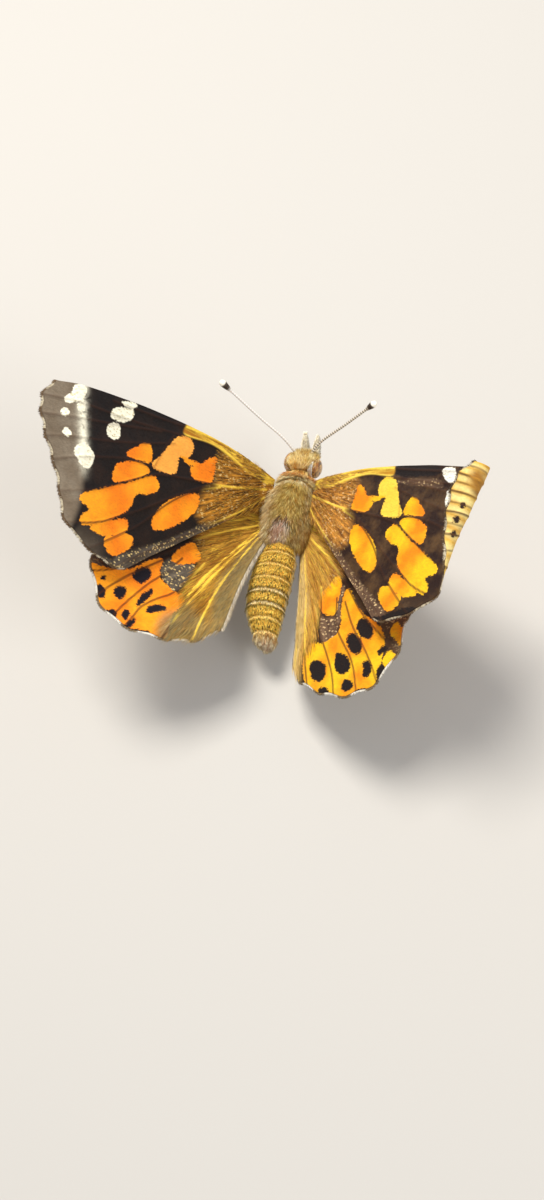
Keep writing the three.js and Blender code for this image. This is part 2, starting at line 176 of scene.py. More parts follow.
# ---- wings: flat plans, bends and stance, as in the solids ----
# Each line of a plan runs from the hinge to the margin: root, bend point, margin point.
FORE_PLAN = np.array([
    [[-0.9, 0.95], [9.0, 3.85], [27.8, 2.3]],
    [[-0.9, 0.7], [10.0, 2.9], [28.7, 1.0]],
    [[-0.9, 0.45], [11.0, 1.9], [28.4, -0.7]],
    [[-0.9, 0.2], [12.0, 0.6], [27.3, -2.8]],
    [[-0.9, -0.1], [12.5, -1.6], [25.9, -5.0]],
    [[-0.9, -0.4], [13.0, -2.1], [24.7, -7.5]],
    [[-0.9, -0.65], [12.0, -3.2], [23.7, -10.1]],
    [[-0.9, -0.9], [9.5, -3.6], [20.6, -12.0]],
    [[-0.9, -1.15], [7.5, -4.9], [17.0, -12.8]],
    [[-0.9, -1.4], [7.0, -6.3], [15.4, -12.5]],
])
HIND_PLAN = np.array([
    [[-0.9, 0.7], [9.0, 3.4], [17.2, -1.6]],
    [[-0.9, 0.4], [10.0, 0.6], [18.2, -5.0]],
    [[-0.9, 0.1], [8.6, -2.2], [17.0, -9.3]],
    [[-0.9, -0.15], [7.6, -4.6], [16.9, -13.2]],
    [[-0.9, -0.4], [6.6, -6.4], [14.9, -16.7]],
    [[-0.9, -0.65], [4.8, -7.0], [11.5, -17.8]],
    [[-0.9, -0.9], [3.2, -7.2], [7.8, -17.4]],
    [[-0.9, -1.15], [1.8, -7.0], [4.6, -16.2]],
    [[-0.9, -1.4], [1.3, -6.2], [2.2, -14.4]],
])
BOW_PEAK = 6.75


def bend_line(start, end, angle, radius, way, bow=0.0, fade=0.0):
    return {
        "from": np.array(start), "to": np.array(end), "angle": angle * DEG,
        "radius": radius, "way": way, "bow": bow, "fade": fade,
    }


TIP_CREASE = {
    "left": bend_line([24.4, 3.0], [23.2, -12.0], -46, 2.2, 1, 1.6, 0.3),
    "right": bend_line([24.7, 3.0], [23.7, -10.5], 164, 0.85, 1, 0.85, 1.0),
}
HIND_DROOP = {
    "left": bend_line([0.5, -1.2], [17.0, -11.6], -16, 5, -1),
    "right": bend_line([0.5, -1.2], [17.0, -11.6], -10, 5, -1),
}
INNER_TROUGH = {
    "left": bend_line([0.6, 0.5], [5.6, -17.0], 42, 3, -1),
    "right": bend_line([0.6, 0.5], [5.6, -17.0], -25, 3, -1),
}
HIND_PLEAT = {
    "left": bend_line([1.0, -1.0], [13.2, -17.0], 10, 4, -1),
    "right": bend_line([1.0, -1.0], [13.2, -17.0], -4, 4, -1),
}
WINGS = {
    "forewing": {
        "plan": FORE_PLAN, "root": (2.2, 4.1, 6.5), "scallop": 0.24, "bends": (TIP_CREASE, HIND_DROOP),
        "stance": {"left": (4.6, 47.0, 19.6), "right": (-15.4, 47.8, 2.7)},
        "grid": (150, 224),
    },
    "hindwing": {
        "plan": HIND_PLAN, "root": (2.1, 1.2, 4.75), "scallop": 0.4, "bends": (INNER_TROUGH, HIND_PLEAT),
        "stance": {"left": (4.6, 35.0, 1.0), "right": (-10.0, 41.0, 2.7)},
        "grid": (160, 160),
    },
}
MEMBRANE_HALF = 0.045
VEIN_RELIEF = 0.075
VEIN_WIDTH = 0.16
MARGIN_SHARE = 0.984


def past_line(a, b, line):
    """How far plan points lie beyond a bend line, and their share of the way along it."""
    along = line["to"] - line["from"]
    length = np.hypot(*along)
    from_a, from_b = a - line["from"][0], b - line["from"][1]
    share = np.clip((from_a * along[0] + from_b * along[1]) / length**2, 0, 1)
    over = (from_b * along[0] - from_a * along[1]) / length * line["way"]
    return over + line["bow"] * BOW_PEAK * share**2 * (1 - share), share


def bent(place, line):
    """Plan points and their heights, turned round one bend line."""
    a, b, h = place
    along = unit(line["to"] - line["from"])
    over, share = past_line(a, b, line)
    way = np.sign(line["angle"])
    full = abs(line["angle"]) * (1 - line["fade"] * smooth(share, 0.5, 1))
    turned = np.minimum(over / line["radius"], full)
    rest = np.maximum(0, over - line["radius"] * full)
    arm = line["radius"] - way * h
    across = arm * np.sin(turned) + rest * np.cos(turned)
    height = way * (line["radius"] - arm * np.cos(turned) + rest * np.sin(turned))
    shift = (across - over) * line["way"]
    beyond = over > 0
    return (
        np.where(beyond, a - along[1] * shift, a),
        np.where(beyond, b + along[0] * shift, b),
        np.where(beyond, height, h),
    )


def on_wing(kind, side, a, b, h):
    """Plan points of a wing, in the model's own measure."""
    spec = WINGS[kind]
    place = (a, b, h)
    for line in spec["bends"]:
        place = bent(place, line[side])
    a, b, h = place
    sweep, lift, pitch = (angle * DEG for angle in spec["stance"][side])
    out = a * math.cos(sweep) - b * math.sin(sweep)
    ahead = a * math.sin(sweep) + b * math.cos(sweep)
    x = out * math.cos(lift) - h * math.sin(lift)
    rise = out * math.sin(lift) + h * math.cos(lift)
    y = ahead * math.cos(pitch) - rise * math.sin(pitch)
    z = ahead * math.sin(pitch) + rise * math.cos(pitch)
    root = spec["root"]
    return np.stack([SIDES[side] * (root[0] + x), root[1] + y, root[2] + z], -1)


def plan_point(kind, lane, share):
    """The flat plan point on a lane between the lines, at a share of the way to the margin."""
    spec = WINGS[kind]
    control = smooth_rows(spec["plan"], lane)
    back = (1 - share)[:, None]
    share_column = share[:, None]
    point = (
        back**2 * control[:, 0] + 2 * back * share_column * control[:, 1] + share_column**2 * control[:, 2]
    )
    pull = spec["scallop"] * share**8 * np.sin(np.pi * (lane - np.floor(lane))) ** 2
    return point * (1 - pull / np.linalg.norm(control[:, 2], axis=1))[:, None]


# ---- markings, as outlines in the flat plans ----
FORE_ORANGE = {
    "in_the_cell": [
        (6.9, 0.9), (7.6, 0.8), (8.3, 0.3), (8.9, -0.5), (10.0, -0.8), (10.1, -1.3), (9.6, -2.0),
        (7.8, -2.0), (7.0, -1.5), (7.1, -0.3)],
    "cell_link": [(8.8, -0.7), (10.2, -0.95), (12.0, -0.3), (11.8, 0.0), (10.3, -0.4), (9.2, -0.2)],
    "below_the_cell": [
        (8.5, -3.1), (9.8, -3.5), (11.4, -4.3), (12.5, -5.3), (13.4, -6.6), (13.5, -7.7), (12.8, -8.1),
        (11.3, -7.4), (9.5, -6.1), (8.3, -4.9), (8.1, -3.8)],
    "outer_small": [
        (15.5, -0.3), (16.4, -0.5), (17.3, -1.2), (18.2, -1.9), (18.0, -2.35), (16.4, -2.25), (14.9, -2.1),
        (15.0, -1.1)],
    "outer_middle": [
        (14.5, -2.8), (15.9, -2.3), (17.4, -2.5), (19.0, -3.2), (19.3, -4.2), (19.1, -5.1), (18.0, -4.8),
        (16.4, -4.0)],
    "outer_long": [
        (14.2, -3.0), (15.1, -3.3), (16.7, -4.3), (18.8, -5.3), (20.6, -6.2), (22.4, -7.1), (22.5, -7.8),
        (20.9, -8.15), (21.9, -9.0), (22.0, -9.7), (21.2, -9.9), (19.9, -9.3), (18.6, -8.6), (16.9, -7.5),
        (16.2, -6.4), (16.1, -5.2), (14.9, -5.1), (13.5, -4.5), (13.4, -3.6)],
    "rear_outer": [
        (16.3, -7.9), (17.2, -8.0), (18.8, -8.7), (20.4, -9.5), (20.7, -10.0), (19.5, -10.2), (18.3, -10.1),
        (16.8, -9.4), (16.1, -8.9)],
    "rear_inner": [
        (15.3, -9.3), (16.3, -9.2), (17.8, -9.8), (18.8, -10.4), (18.6, -11.0), (17.6, -11.7), (16.9, -11.6),
        (15.9, -10.9), (15.2, -10.1)],
}
FORE_PALE_BAND = [
    (12.3, 1.5), (11.0, 1.7), (10.2, 1.2), (10.2, 0.5), (10.6, -0.3), (11.7, -0.2), (11.8, -1.0), (11.5, -2.15),
    (13.5, -2.6), (15.2, -2.2), (13.9, -0.9), (13.3, 0.3)]
FORE_WHITE = {
    "front_bar": [(20.9, 1.5), (19.4, 2.1), (18.0, 2.1), (18.5, 0.9), (19.6, 0.5), (21.0, 0.6)],
    "front_bar_top": [(20.3, 2.3), (19.0, 2.8), (17.8, 2.7), (18.7, 2.0)],
    "front_bar_low": [(21.1, 0.0), (19.6, 0.5), (19.1, -0.8), (19.9, -1.3), (20.9, -1.1)],
    "tip_front": [(25.6, 2.4), (24.2, 2.6), (24.1, 1.4), (25.7, 0.4), (26.2, 1.0), (25.5, 1.6)],
    "tip_front_low": [(24.8, 0.9), (24.0, 1.1), (23.9, 0.2), (24.8, 0.1)],
    "tip_second": [(26.25, -0.35), (25.8, 0.2), (25.2, -0.2), (25.6, -0.8)],
    "tip_third": [(25.6, -2.0), (25.25, -1.5), (24.5, -2.0), (24.9, -2.5)],
    "tip_large": [(23.8, -2.8), (22.8, -2.5), (21.7, -3.3), (21.9, -4.6), (22.8, -4.8), (24.1, -3.6)],
}
FORE_WHITE_FOLDED = {
    "front_patch": [(18.5, 2.6), (20.4, 2.7), (20.9, 1.7), (20.8, 0.9), (19.2, 1.5)],
    "low_patch": [(20.9, 0.6), (20.3, 0.4), (20.3, -0.8), (21.0, -1.4), (21.9, -0.6)],
}
FORE_DARK = {
    # The lens at the left forewing's inner corner is painted shade: a dark patch where the curled edge lies in
    # shadow.
    "left": {"lens": [
        (20.5, -12.9), (19.1, -12.5), (17.6, -12.4), (16.3, -12.7), (18.0, -13.5), (19.5, -13.5)]},
    "right": {
        "front_band": [(10.3, 2.9), (18.2, 2.9), (18.9, 1.7), (12.4, 1.7), (10.7, 2.0)],
        "inner_edge": [(14.3, -12.4), (17.2, -12.0), (20.0, -11.0), (22.3, -11.2), (24.4, -9.9), (20.0, -12.6)],
    },
}
FORE_GREY = {
    "left": [(16.0, -12.9), (17.0, -12.0), (20.0, -12.0), (21.5, -11.0), (20.0, -14.0), (16.0, -14.0)],
    "right": [(11.9, 1.3), (17.8, 1.6), (19.3, 1.1), (19.7, 0.5), (14.0, 0.9)],
}
FORE_GOLD_STRIPE = [
    (-2.0, 0.4), (2.0, 0.4), (4.4, 0.9), (6.2, 1.55), (8.5, 1.95), (10.8, 1.7), (12.1, 1.7), (11.4, 3.4),
    (7.5, 4.2), (-2.0, 2.5)]
FORE_BASAL = [
    (-3.0, 1.5), (5.0, 1.9), (7.0, 1.2), (7.2, -0.6), (6.4, -1.9), (7.8, -2.6), (8.3, -4.0), (7.8, -6.0),
    (3.0, -4.0), (-3.0, -2.5)]
# The band along the forewing's inner margin: on the left wing a painted sheen, grey as if the drooping edge caught
# the light; on the right wing its grey-brown scales.
FORE_SHEEN = [
    (1.5, -2.6), (6.5, -5.5), (9.1, -7.2), (11.2, -8.6), (14.5, -10.3), (17.4, -11.8), (17.0, -14.0),
    (11.7, -12.0), (7.0, -8.0), (2.0, -4.5)]
FORE_VEINS = {
    "front": [(0.0, 0.9), (5.0, 2.3), (10.0, 2.6), (15.0, 2.35), (21.0, 2.2)],
    "radial": [(0.0, 0.3), (3.0, 0.75), (6.1, 1.7), (9.5, 1.9), (14.0, 1.4), (19.5, 1.0), (28.3, 0.9)],
    "radial_fork": [(14.5, 1.2), (20.0, 0.2), (25.0, -0.6), (28.2, -0.8)],
    "upper_middle": [(12.7, 0.6), (16.0, -0.4), (21.0, -1.7), (27.2, -2.7)],
    "middle": [(0.0, -0.3), (3.7, -1.2), (6.5, -1.75), (9.6, -2.1), (12.6, -2.55), (15.2, -2.3),
               (18.5, -2.45), (25.9, -4.7)],
    "third_middle": [(12.6, -2.55), (14.5, -2.95), (16.8, -4.2), (19.0, -5.35), (21.5, -6.6), (24.6, -7.4)],
    "front_rear": [(7.4, -2.0), (10.5, -3.6), (14.4, -6.2), (17.2, -7.8), (20.0, -9.3), (23.5, -10.1)],
    "rear": [(6.0, -1.8), (8.9, -2.9), (11.8, -4.8), (14.2, -7.4), (16.2, -9.0), (18.5, -10.6), (20.6, -11.9)],
    "inner": [(0.0, -1.1), (3.5, -3.9), (7.6, -6.4), (12.0, -9.2), (17.0, -12.6)],
    "cell_end": [(13.0, 1.2), (13.7, 0.0), (14.2, -1.2), (14.6, -2.4)],
}
HIND_ORANGE = {
    "right": {
        "field": [
            (7.7, -6.7), (8.4, -6.6), (9.5, -8.0), (10.9, -9.3), (12.7, -9.9), (14.2, -11.0), (14.9, -12.4),
            (14.9, -14.2), (15.2, -16.3), (12.8, -17.4), (10.2, -17.9), (6.8, -17.4), (5.0, -15.6), (4.3, -13.3),
            (5.0, -11.9), (6.4, -12.3), (7.5, -11.8), (8.5, -11.2), (8.4, -10.1), (7.7, -8.4)],
        "inner_patch": [
            (6.0, -5.3), (6.8, -5.4), (7.3, -6.8), (7.2, -7.8), (7.5, -9.1), (6.8, -9.6), (4.9, -8.7),
            (4.3, -7.6), (5.0, -6.8), (5.6, -6.1)],
        "outer_first": [
            (15.6, -9.9), (16.2, -10.5), (17.0, -11.1), (16.8, -12.6), (15.9, -11.8), (14.9, -11.2),
            (15.0, -10.5)],
        "outer_second": [(15.4, -12.6), (16.7, -13.5), (16.6, -14.0), (15.9, -15.0), (14.9, -14.0)],
    },
    "left": {
        "field": [
            (18.5, -13.0), (15.2, -12.8), (13.3, -12.0), (12.3, -11.4), (11.0, -9.9), (9.7, -8.9), (9.5, -9.5),
            (9.6, -10.4), (9.3, -11.1), (8.4, -11.4), (7.8, -11.9), (6.5, -11.5), (6.3, -12.1), (6.5, -13.0),
            (7.4, -14.1), (7.4, -15.6), (7.4, -17.2), (9.4, -17.3), (11.2, -17.4), (12.9, -17.9), (14.5, -17.3),
            (15.4, -16.6), (16.4, -15.2)],
        "inner_patch": [
            (8.8, -8.6), (8.5, -7.7), (7.6, -6.4), (6.9, -5.8), (6.4, -6.2), (5.6, -6.8), (5.8, -7.7),
            (6.7, -8.1), (7.7, -8.8), (8.5, -8.9)],
    },
}
HIND_SPOTS = {
    "right": {
        "first": [
            (10.4, -10.1), (10.9, -9.6), (11.8, -9.8), (12.8, -10.8), (12.9, -11.7), (12.4, -11.9),
            (11.4, -11.5), (10.6, -10.8)],
        "second": [
            (9.9, -11.1), (10.9, -11.3), (11.9, -12.1), (12.1, -13.1), (11.4, -13.4), (10.4, -12.9), (9.7, -11.9)],
        "third": [
            (8.8, -13.0), (9.8, -13.2), (11.1, -14.0), (11.2, -15.0), (10.3, -15.4), (9.2, -15.0), (8.8, -13.9)],
        "fourth": [
            (5.8, -13.9), (6.7, -13.8), (7.8, -14.4), (8.2, -15.2), (7.8, -16.1), (6.8, -16.0), (5.9, -15.3),
            (5.6, -14.5)],
        "outer_1": [(14.6, -12.3), (15.4, -12.7), (15.0, -13.0), (14.5, -13.5), (14.0, -13.0)],
        "outer_2": [(14.6, -14.5), (15.3, -14.2), (16.0, -14.9), (16.0, -16.0), (15.2, -16.1), (14.7, -15.3)],
        "outer_3": [
            (12.5, -14.0), (13.3, -13.8), (14.0, -14.4), (14.0, -15.0), (13.6, -15.7), (12.9, -15.5),
            (12.9, -14.7)],
        "outer_4": [(10.6, -15.8), (11.6, -15.8), (12.3, -16.4), (11.9, -16.9), (10.7, -17.0)],
        "outer_5": [(7.4, -16.7), (8.8, -16.5), (9.2, -17.3), (8.1, -17.5)],
        "edge_1": [(15.6, -16.2), (16.3, -15.6), (17.3, -14.6), (17.6, -16.0), (15.8, -17.4)],
        "edge_2": [(12.6, -16.9), (13.6, -16.5), (14.6, -17.3), (13.2, -18.4)],
        "edge_3": [(9.8, -17.6), (10.8, -17.4), (11.4, -18.4), (9.8, -18.6)],
    },
    "left": {
        "second": [
            (12.3, -12.3), (12.1, -11.5), (11.6, -10.9), (10.9, -10.6), (10.3, -10.9), (10.4, -11.6),
            (11.0, -12.5), (11.6, -12.6)],
        "third": [
            (11.1, -14.4), (10.9, -13.8), (10.3, -12.7), (9.8, -12.4), (9.7, -13.0), (10.1, -13.8),
            (10.6, -14.6), (11.0, -15.0)],
        "fourth": [(10.1, -15.1), (9.9, -14.5), (9.2, -13.8), (8.2, -13.6), (7.9, -13.9), (8.8, -14.6), (9.5, -15.1)],
        "outer_1": [(15.4, -13.9), (15.0, -13.4), (14.7, -13.6), (15.1, -14.1)],
        "outer_2": [(15.6, -15.0), (15.2, -14.4), (14.5, -14.8), (14.3, -15.6), (15.0, -16.0), (15.5, -15.8)],
        "outer_3": [
            (13.8, -14.5), (13.5, -13.9), (12.9, -13.6), (12.3, -13.7), (12.4, -14.6), (12.8, -15.1), (13.4, -15.0)],
        "outer_4": [(12.4, -16.4), (12.0, -15.6), (11.4, -15.6), (11.5, -16.5), (11.8, -16.9)],
        "outer_5": [(11.4, -16.6), (10.8, -16.0), (10.8, -16.8), (11.3, -17.6), (11.8, -17.6)],
        "edge_2": [(14.1, -17.2), (13.6, -16.3), (12.9, -16.2), (12.6, -17.0), (13.2, -17.9), (14.0, -17.8)],
        "edge_3": [(12.7, -18.1), (12.3, -17.5), (11.7, -17.3), (11.8, -18.0), (12.2, -18.8)],
        "edge_4": [(11.3, -17.6), (9.6, -16.9), (9.1, -17.1), (9.0, -18.4), (10.6, -18.8)],
    },
}
HIND_BROWN = {
    "right": {
        "patch": [(5.4, -9.3), (6.2, -9.7), (7.5, -9.4), (8.6, -11.3), (7.4, -11.9), (6.9, -12.3), (6.0, -11.6)],
        "strip": [(7.2, -6.1), (7.8, -6.7), (7.6, -7.7), (7.7, -8.4), (8.4, -10.1), (7.8, -10.2), (7.1, -7.6)],
    },
    "left": {
        "patch": [
            (9.6, -10.2), (9.3, -9.0), (8.8, -8.6), (7.4, -8.5), (6.0, -7.9), (6.2, -8.8), (6.6, -10.1), (7.1, -11.3),
            (7.8, -11.8), (8.5, -11.2), (9.2, -11.0)],
    },
}
HIND_HAIRY = {
    "right": [
        (-3.0, 2.0), (3.3, -0.8), (5.4, -4.6), (4.3, -7.2), (5.0, -9.5), (5.4, -11.6), (4.3, -13.0), (3.9, -15.0),
        (3.5, -19.0), (-3.0, -19.0)],
    "left": [
        (-3.0, 2.0), (3.3, -0.8), (5.8, -4.8), (5.3, -7.0), (6.0, -9.2), (6.9, -11.7), (6.1, -12.6), (6.3, -13.4),
        (7.2, -14.4), (7.0, -15.6), (6.8, -19.0), (-3.0, -19.0)],
}
HIND_FOLD = [
    (-3.0, 0.0), (0.0, -1.5), (1.4, -4.4), (3.1, -7.7), (3.3, -10.0), (3.4, -12.7), (2.6, -15.0), (-3.0, -17.0)]
HIND_REAR = {
    "right": [(4.2, -14.0), (3.2, -12.6), (1.5, -12.5), (1.0, -17.0), (4.2, -18.5), (4.8, -16.5)],
    "left": [
        (8.2, -14.4), (6.4, -13.2), (5.8, -11.4), (4.7, -12.5), (3.4, -13.2), (1.0, -14.0), (0.5, -17.0),
        (5.0, -19.0), (8.4, -18.0), (8.8, -16.2)],
}
HIND_FRONT_VEINS = {
    "front": [(0.0, 0.5), (6.0, 1.6), (12.0, 0.6), (17.0, -1.8)],
    "radial": [(0.0, 0.1), (5.0, -0.4), (10.0, -1.7), (18.0, -5.0)],
    "upper_middle": [(2.0, -0.8), (6.0, -3.3), (10.3, -5.9), (16.9, -9.4)],
}
HIND_VEINS = {
    "left": {
        **HIND_FRONT_VEINS,
        "middle": [(0.5, -0.8), (3.5, -2.8), (6.2, -4.9), (9.2, -8.0), (11.6, -10.4), (14.4, -12.6), (16.6, -13.8)],
        "third_middle": [(9.0, -8.6), (11.0, -10.6), (12.8, -12.5), (14.5, -14.6), (15.6, -16.4)],
        "front_rear": [(7.6, -8.0), (9.4, -10.9), (10.5, -12.2), (12.8, -16.1), (13.6, -18.0)],
        "rear": [(5.2, -7.4), (7.4, -11.8), (9.4, -13.4), (10.7, -14.9), (11.0, -15.8), (11.9, -17.8)],
        "inner": [(0.2, -1.5), (3.0, -6.4), (5.4, -11.0), (7.0, -14.4), (8.0, -17.4)],
        "inner_streak": [(0.4, -1.4), (3.6, -6.6), (5.0, -9.0), (6.2, -11.6)],
        "innermost": [(0.0, -1.8), (2.2, -6.4), (3.6, -10.2), (4.4, -13.4), (5.0, -16.4)],
    },
    "right": {
        **HIND_FRONT_VEINS,
        "middle": [(0.5, -0.8), (3.5, -2.8), (6.2, -4.9), (8.4, -6.8), (10.8, -9.3), (14.0, -11.4), (16.8, -13.3)],
        "third_middle": [(8.2, -8.0), (10.0, -10.5), (11.8, -12.2), (13.3, -13.7), (15.4, -16.4)],
        "front_rear": [(7.0, -7.6), (7.8, -10.5), (9.8, -12.5), (11.3, -14.0), (13.0, -17.4)],
        "rear": [(4.5, -6.5), (5.6, -9.6), (6.3, -11.7), (7.8, -13.6), (9.2, -15.5), (10.0, -17.6)],
        "inner": [(0.2, -1.5), (2.2, -6.0), (3.4, -10.0), (4.6, -13.4), (6.0, -16.6)],
        "innermost": [(0.0, -1.8), (1.2, -6.0), (2.0, -10.0), (3.2, -15.4)],
    },
}


def lane_of(places):
    """The lane of a forewing's plan points near its tip, read from their heights at the margin."""
    margin = FORE_PLAN[:7, 2]
    return np.interp(-places[:, 1], -margin[:, 1], np.arange(7))


def soft_inside(places, outline, width):
    """A soft zone: 1 well inside the outline, 0 well outside it."""
    return smooth(depth_inside(places, outline), -width, width)


def vein_fields(places, veins):
    gaps = np.min([line_distance(places, line) for line in veins.values()], axis=0)
    return np.exp(-((gaps / VEIN_WIDTH) ** 2))


OUTLINED = ("orange", "pale", "white", "black")
SOFT_ZONES = ("gold", "silver", "basal", "sheen", "bloom", "sparkle")


def face_fields(places, **given):
    """All fields of one face of a wing: those given, and nothing in the others."""
    empty = {field: np.full(len(places), FAR_OUTSIDE) for field in OUTLINED}
    empty.update((field, np.zeros(len(places))) for field in SOFT_ZONES)
    return {**empty, **given}


def fore_upper(places, side):
    a, b = places[:, 0], places[:, 1]
    over, share = past_line(a, b, TIP_CREASE[side])
    white = FORE_WHITE if side == "left" else FORE_WHITE_FOLDED
    inner = 0.5 * smooth(-b, 8.5, 12) * smooth(a, 17, 21) * (1 - smooth(over, -0.6, 0.0))
    grey = soft_inside(places, FORE_GREY[side], 0.15)
    return face_fields(
        places,
        orange=depth_in_any(places, FORE_ORANGE.values()),
        pale=depth_inside(places, FORE_PALE_BAND),
        white=depth_in_any(places, white.values()),
        black=depth_in_any(places, FORE_DARK[side].values()),
        gold=soft_inside(places, FORE_GOLD_STRIPE, 0.12),
        basal=soft_inside(places, FORE_BASAL, 0.7),
        # Grey-brown scales along the inner margin and by the inner corner. On the left forewing this grey is a
        # painted sheen.
        sheen=np.maximum(soft_inside(places, FORE_SHEEN, 0.3), 0.7 * grey),
        # Beyond the crease of the left forewing's drooping tip, a painted sheen: its black scales greyed as if they
        # caught the light. Elsewhere this zone holds patches of the scales' own colour.
        bloom=np.maximum(smooth(over, -0.1, 0.7), inner),
        # A painted highlight along the crease of the drooping tip, as if the fold caught the light.
        sparkle=np.exp(-(((over - 0.25) / 0.5) ** 2)) * (1 - smooth(share, 0.42, 0.62)),
    )


def hind_upper(places, side):
    a, b = places[:, 0], places[:, 1]
    rear = soft_inside(places, HIND_REAR[side], 0.8)
    return face_fields(
        places,
        orange=depth_in_any(places, HIND_ORANGE[side].values()),
        black=depth_in_any(places, HIND_SPOTS[side].values()),
        gold=soft_inside(places, HIND_HAIRY[side], 0.5),
        silver=np.maximum(soft_inside(places, HIND_FOLD, 0.5), 0.85 * rear),
        basal=smooth(-np.hypot(a, b), -9.5, -7.5) * smooth(-a - b, -6, 2),
        sheen=np.maximum(smooth(a + b, 2.0, 5.5), depth_weight(places, HIND_BROWN[side])),
        bloom=smooth(a + 0.2 * b, 10.5, 13.5) * 0.4,
    )


def depth_weight(places, outlines, width=0.15):
    return smooth(depth_in_any(places, outlines.values()), -width, width)


# ---- undersides, from the species ----
UNDER_FORE_DARK = {
    "cell_bar_1": [(8.0, 1.6), (9.8, 1.5), (10.2, 0.2), (9.6, -0.6), (8.4, -0.3), (8.0, 0.6)],
    "cell_bar_2": [(10.2, -0.7), (11.6, -0.5), (11.8, -2.0), (10.0, -2.1)],
    "cell_end": [(13.6, 1.8), (16.8, 1.6), (17.9, -0.4), (15.8, -0.6), (14.2, -0.6)],
    "middle_1": [(10.2, -3.2), (13.6, -3.2), (15.8, -5.4), (15.6, -7.4), (14.4, -8.4), (13.6, -6.4)],
    "middle_2": [(8.6, -4.6), (11.6, -7.4), (14.6, -8.6), (14.2, -10.2), (11.4, -9.4), (8.0, -6.4)],
    "outer": [(21.2, -4.8), (23.4, -6.6), (22.8, -9.2), (20.0, -10.8), (19.4, -9.8), (21.0, -8.2), (20.8, -6.6)],
}
UNDER_FORE_TIP = [
    (17.5, 3.5), (18.5, 1.0), (20.8, -0.6), (21.5, -4.2), (23.2, -6.4), (24.2, -9.5), (30.0, -9.0), (30.0, 3.5)]
UNDER_FORE_BROWN = {
    "tip_patch": [(26.9, 1.8), (25.9, 1.8), (24.6, 0.6), (24.4, -0.7), (25.8, -0.4), (26.9, 0.8)],
    "inner_patch": [(19.8, 1.4), (21.6, 0.6), (22.4, -1.6), (21.4, -1.8), (20.4, -0.4)],
}
UNDER_FORE_EYES = {
    "first": [(26.2, -1.6), (25.7, -1.3), (25.4, -1.7), (25.8, -2.1)],
    "second": [(25.9, -3.0), (25.4, -2.6), (25.1, -3.1), (25.5, -3.5)],
    "third": [(25.3, -4.3), (24.9, -3.9), (24.5, -4.3), (24.9, -4.8)],
}
UNDER_HIND_EYES = {
    "first": [(13.6, -6.6), (14.8, -6.2), (15.4, -7.2), (14.4, -8.0), (13.4, -7.6)],
    "second": [(13.6, -9.4), (14.4, -9.0), (14.8, -9.8), (14.0, -10.3)],
    "third": [(13.0, -11.6), (13.8, -11.3), (14.1, -12.2), (13.3, -12.7)],
    "fourth": [(10.0, -13.2), (11.4, -12.8), (12.2, -14.0), (11.2, -15.0), (9.9, -14.4)],
}
UNDER_HIND_WHITE = {
    "root_bar": [(2.0, 0.6), (4.4, 0.6), (5.0, -1.6), (3.4, -3.0), (2.6, -1.0)],
    "middle_bar": [(6.4, 1.0), (8.6, 0.4), (8.2, -3.2), (6.0, -6.0), (4.6, -7.4), (5.4, -4.4), (6.8, -2.0)],
    "outer_bar": [
        (11.6, -0.2), (13.2, -0.8), (12.6, -4.4), (11.0, -7.6), (9.6, -9.8), (7.4, -11.0), (9.2, -8.2),
        (10.6, -5.0)],
    "inner": [(4.6, -9.4), (6.4, -9.8), (6.0, -12.4), (4.4, -12.6)],
}
# Dark lines along creases between the veins of the forewing underside's tip, which the shape doesn't have: painted
# shade.
UNDER_TIP_FOLDS = {
    "between_1": [(24.0, 1.7), (26.0, 1.9), (28.2, 1.8)],
    "between_2": [(23.8, 0.1), (26.0, 0.2), (28.5, 0.1)],
    "between_3": [(23.6, -1.4), (25.6, -1.6), (27.9, -1.8)],
    "between_4": [(23.2, -3.1), (25.0, -3.4), (26.7, -3.8)],
    "between_5": [(22.8, -5.0), (24.0, -5.6), (25.4, -6.2)],
}


def fore_under(places, side):
    a, b = places[:, 0], places[:, 1]
    over, _ = past_line(a, b, TIP_CREASE[side])
    between_veins = np.abs(np.sin(2 * np.pi * lane_of(places)))
    # Pale streaks between the veins just past the crease of the folded-over tip: pale scales with a painted sheen
    # over them.
    pale_patch = smooth(over, 0.5, 1.1) * (1 - smooth(over, 3.1, 4.2)) * between_veins
    return face_fields(
        places,
        orange=2.0 - 4 * soft_inside(places, UNDER_FORE_TIP, 0.25),
        pale=depth_inside(places, FORE_PALE_BAND),
        white=depth_in_any(places, [FORE_WHITE[name] for name in FORE_WHITE if name.startswith("front")]),
        black=depth_in_any(places, [*UNDER_FORE_DARK.values(), *UNDER_FORE_EYES.values()]),
        gold=depth_weight(places, UNDER_FORE_BROWN, 0.5),
        basal=smooth(-a, -6, -2),
        bloom=0.75 * pale_patch,
    )


def hind_under(places, side):
    return face_fields(
        places,
        white=depth_in_any(places, UNDER_HIND_WHITE.values()),
        black=depth_in_any(places, UNDER_HIND_EYES.values()),
        basal=smooth(-places[:, 0], -5, -1),
    )


WINGS["forewing"].update(veins={side: FORE_VEINS for side in SIDES}, upper=fore_upper, under=fore_under)
WINGS["hindwing"].update(veins=HIND_VEINS, upper=hind_upper, under=hind_under)


# ---- colours ----
def paint(red, green, blue):
    """A colour given as 0 to 255 on screen, as the linear colour that a shader takes."""
    linear = [(c / 255 / 12.92) if c <= 10 else ((c / 255 + 0.055) / 1.055) ** 2.4 for c in (red, green, blue)]
    return (*linear, 1.0)


# ---- shader nodes ----
def add(tree, kind, settings=None, **inputs):
    node = tree.nodes.new(kind)
    for key, value in (settings or {}).items():
        setattr(node, key, value)
    for key, value in inputs.items():
        feed(tree, node.inputs[key.replace("_", " ")], value)
    return node


def feed(tree, socket, value):
    if isinstance(value, bpy.types.NodeSocket):
        tree.links.new(value, socket)
    else:
        socket.default_value = value


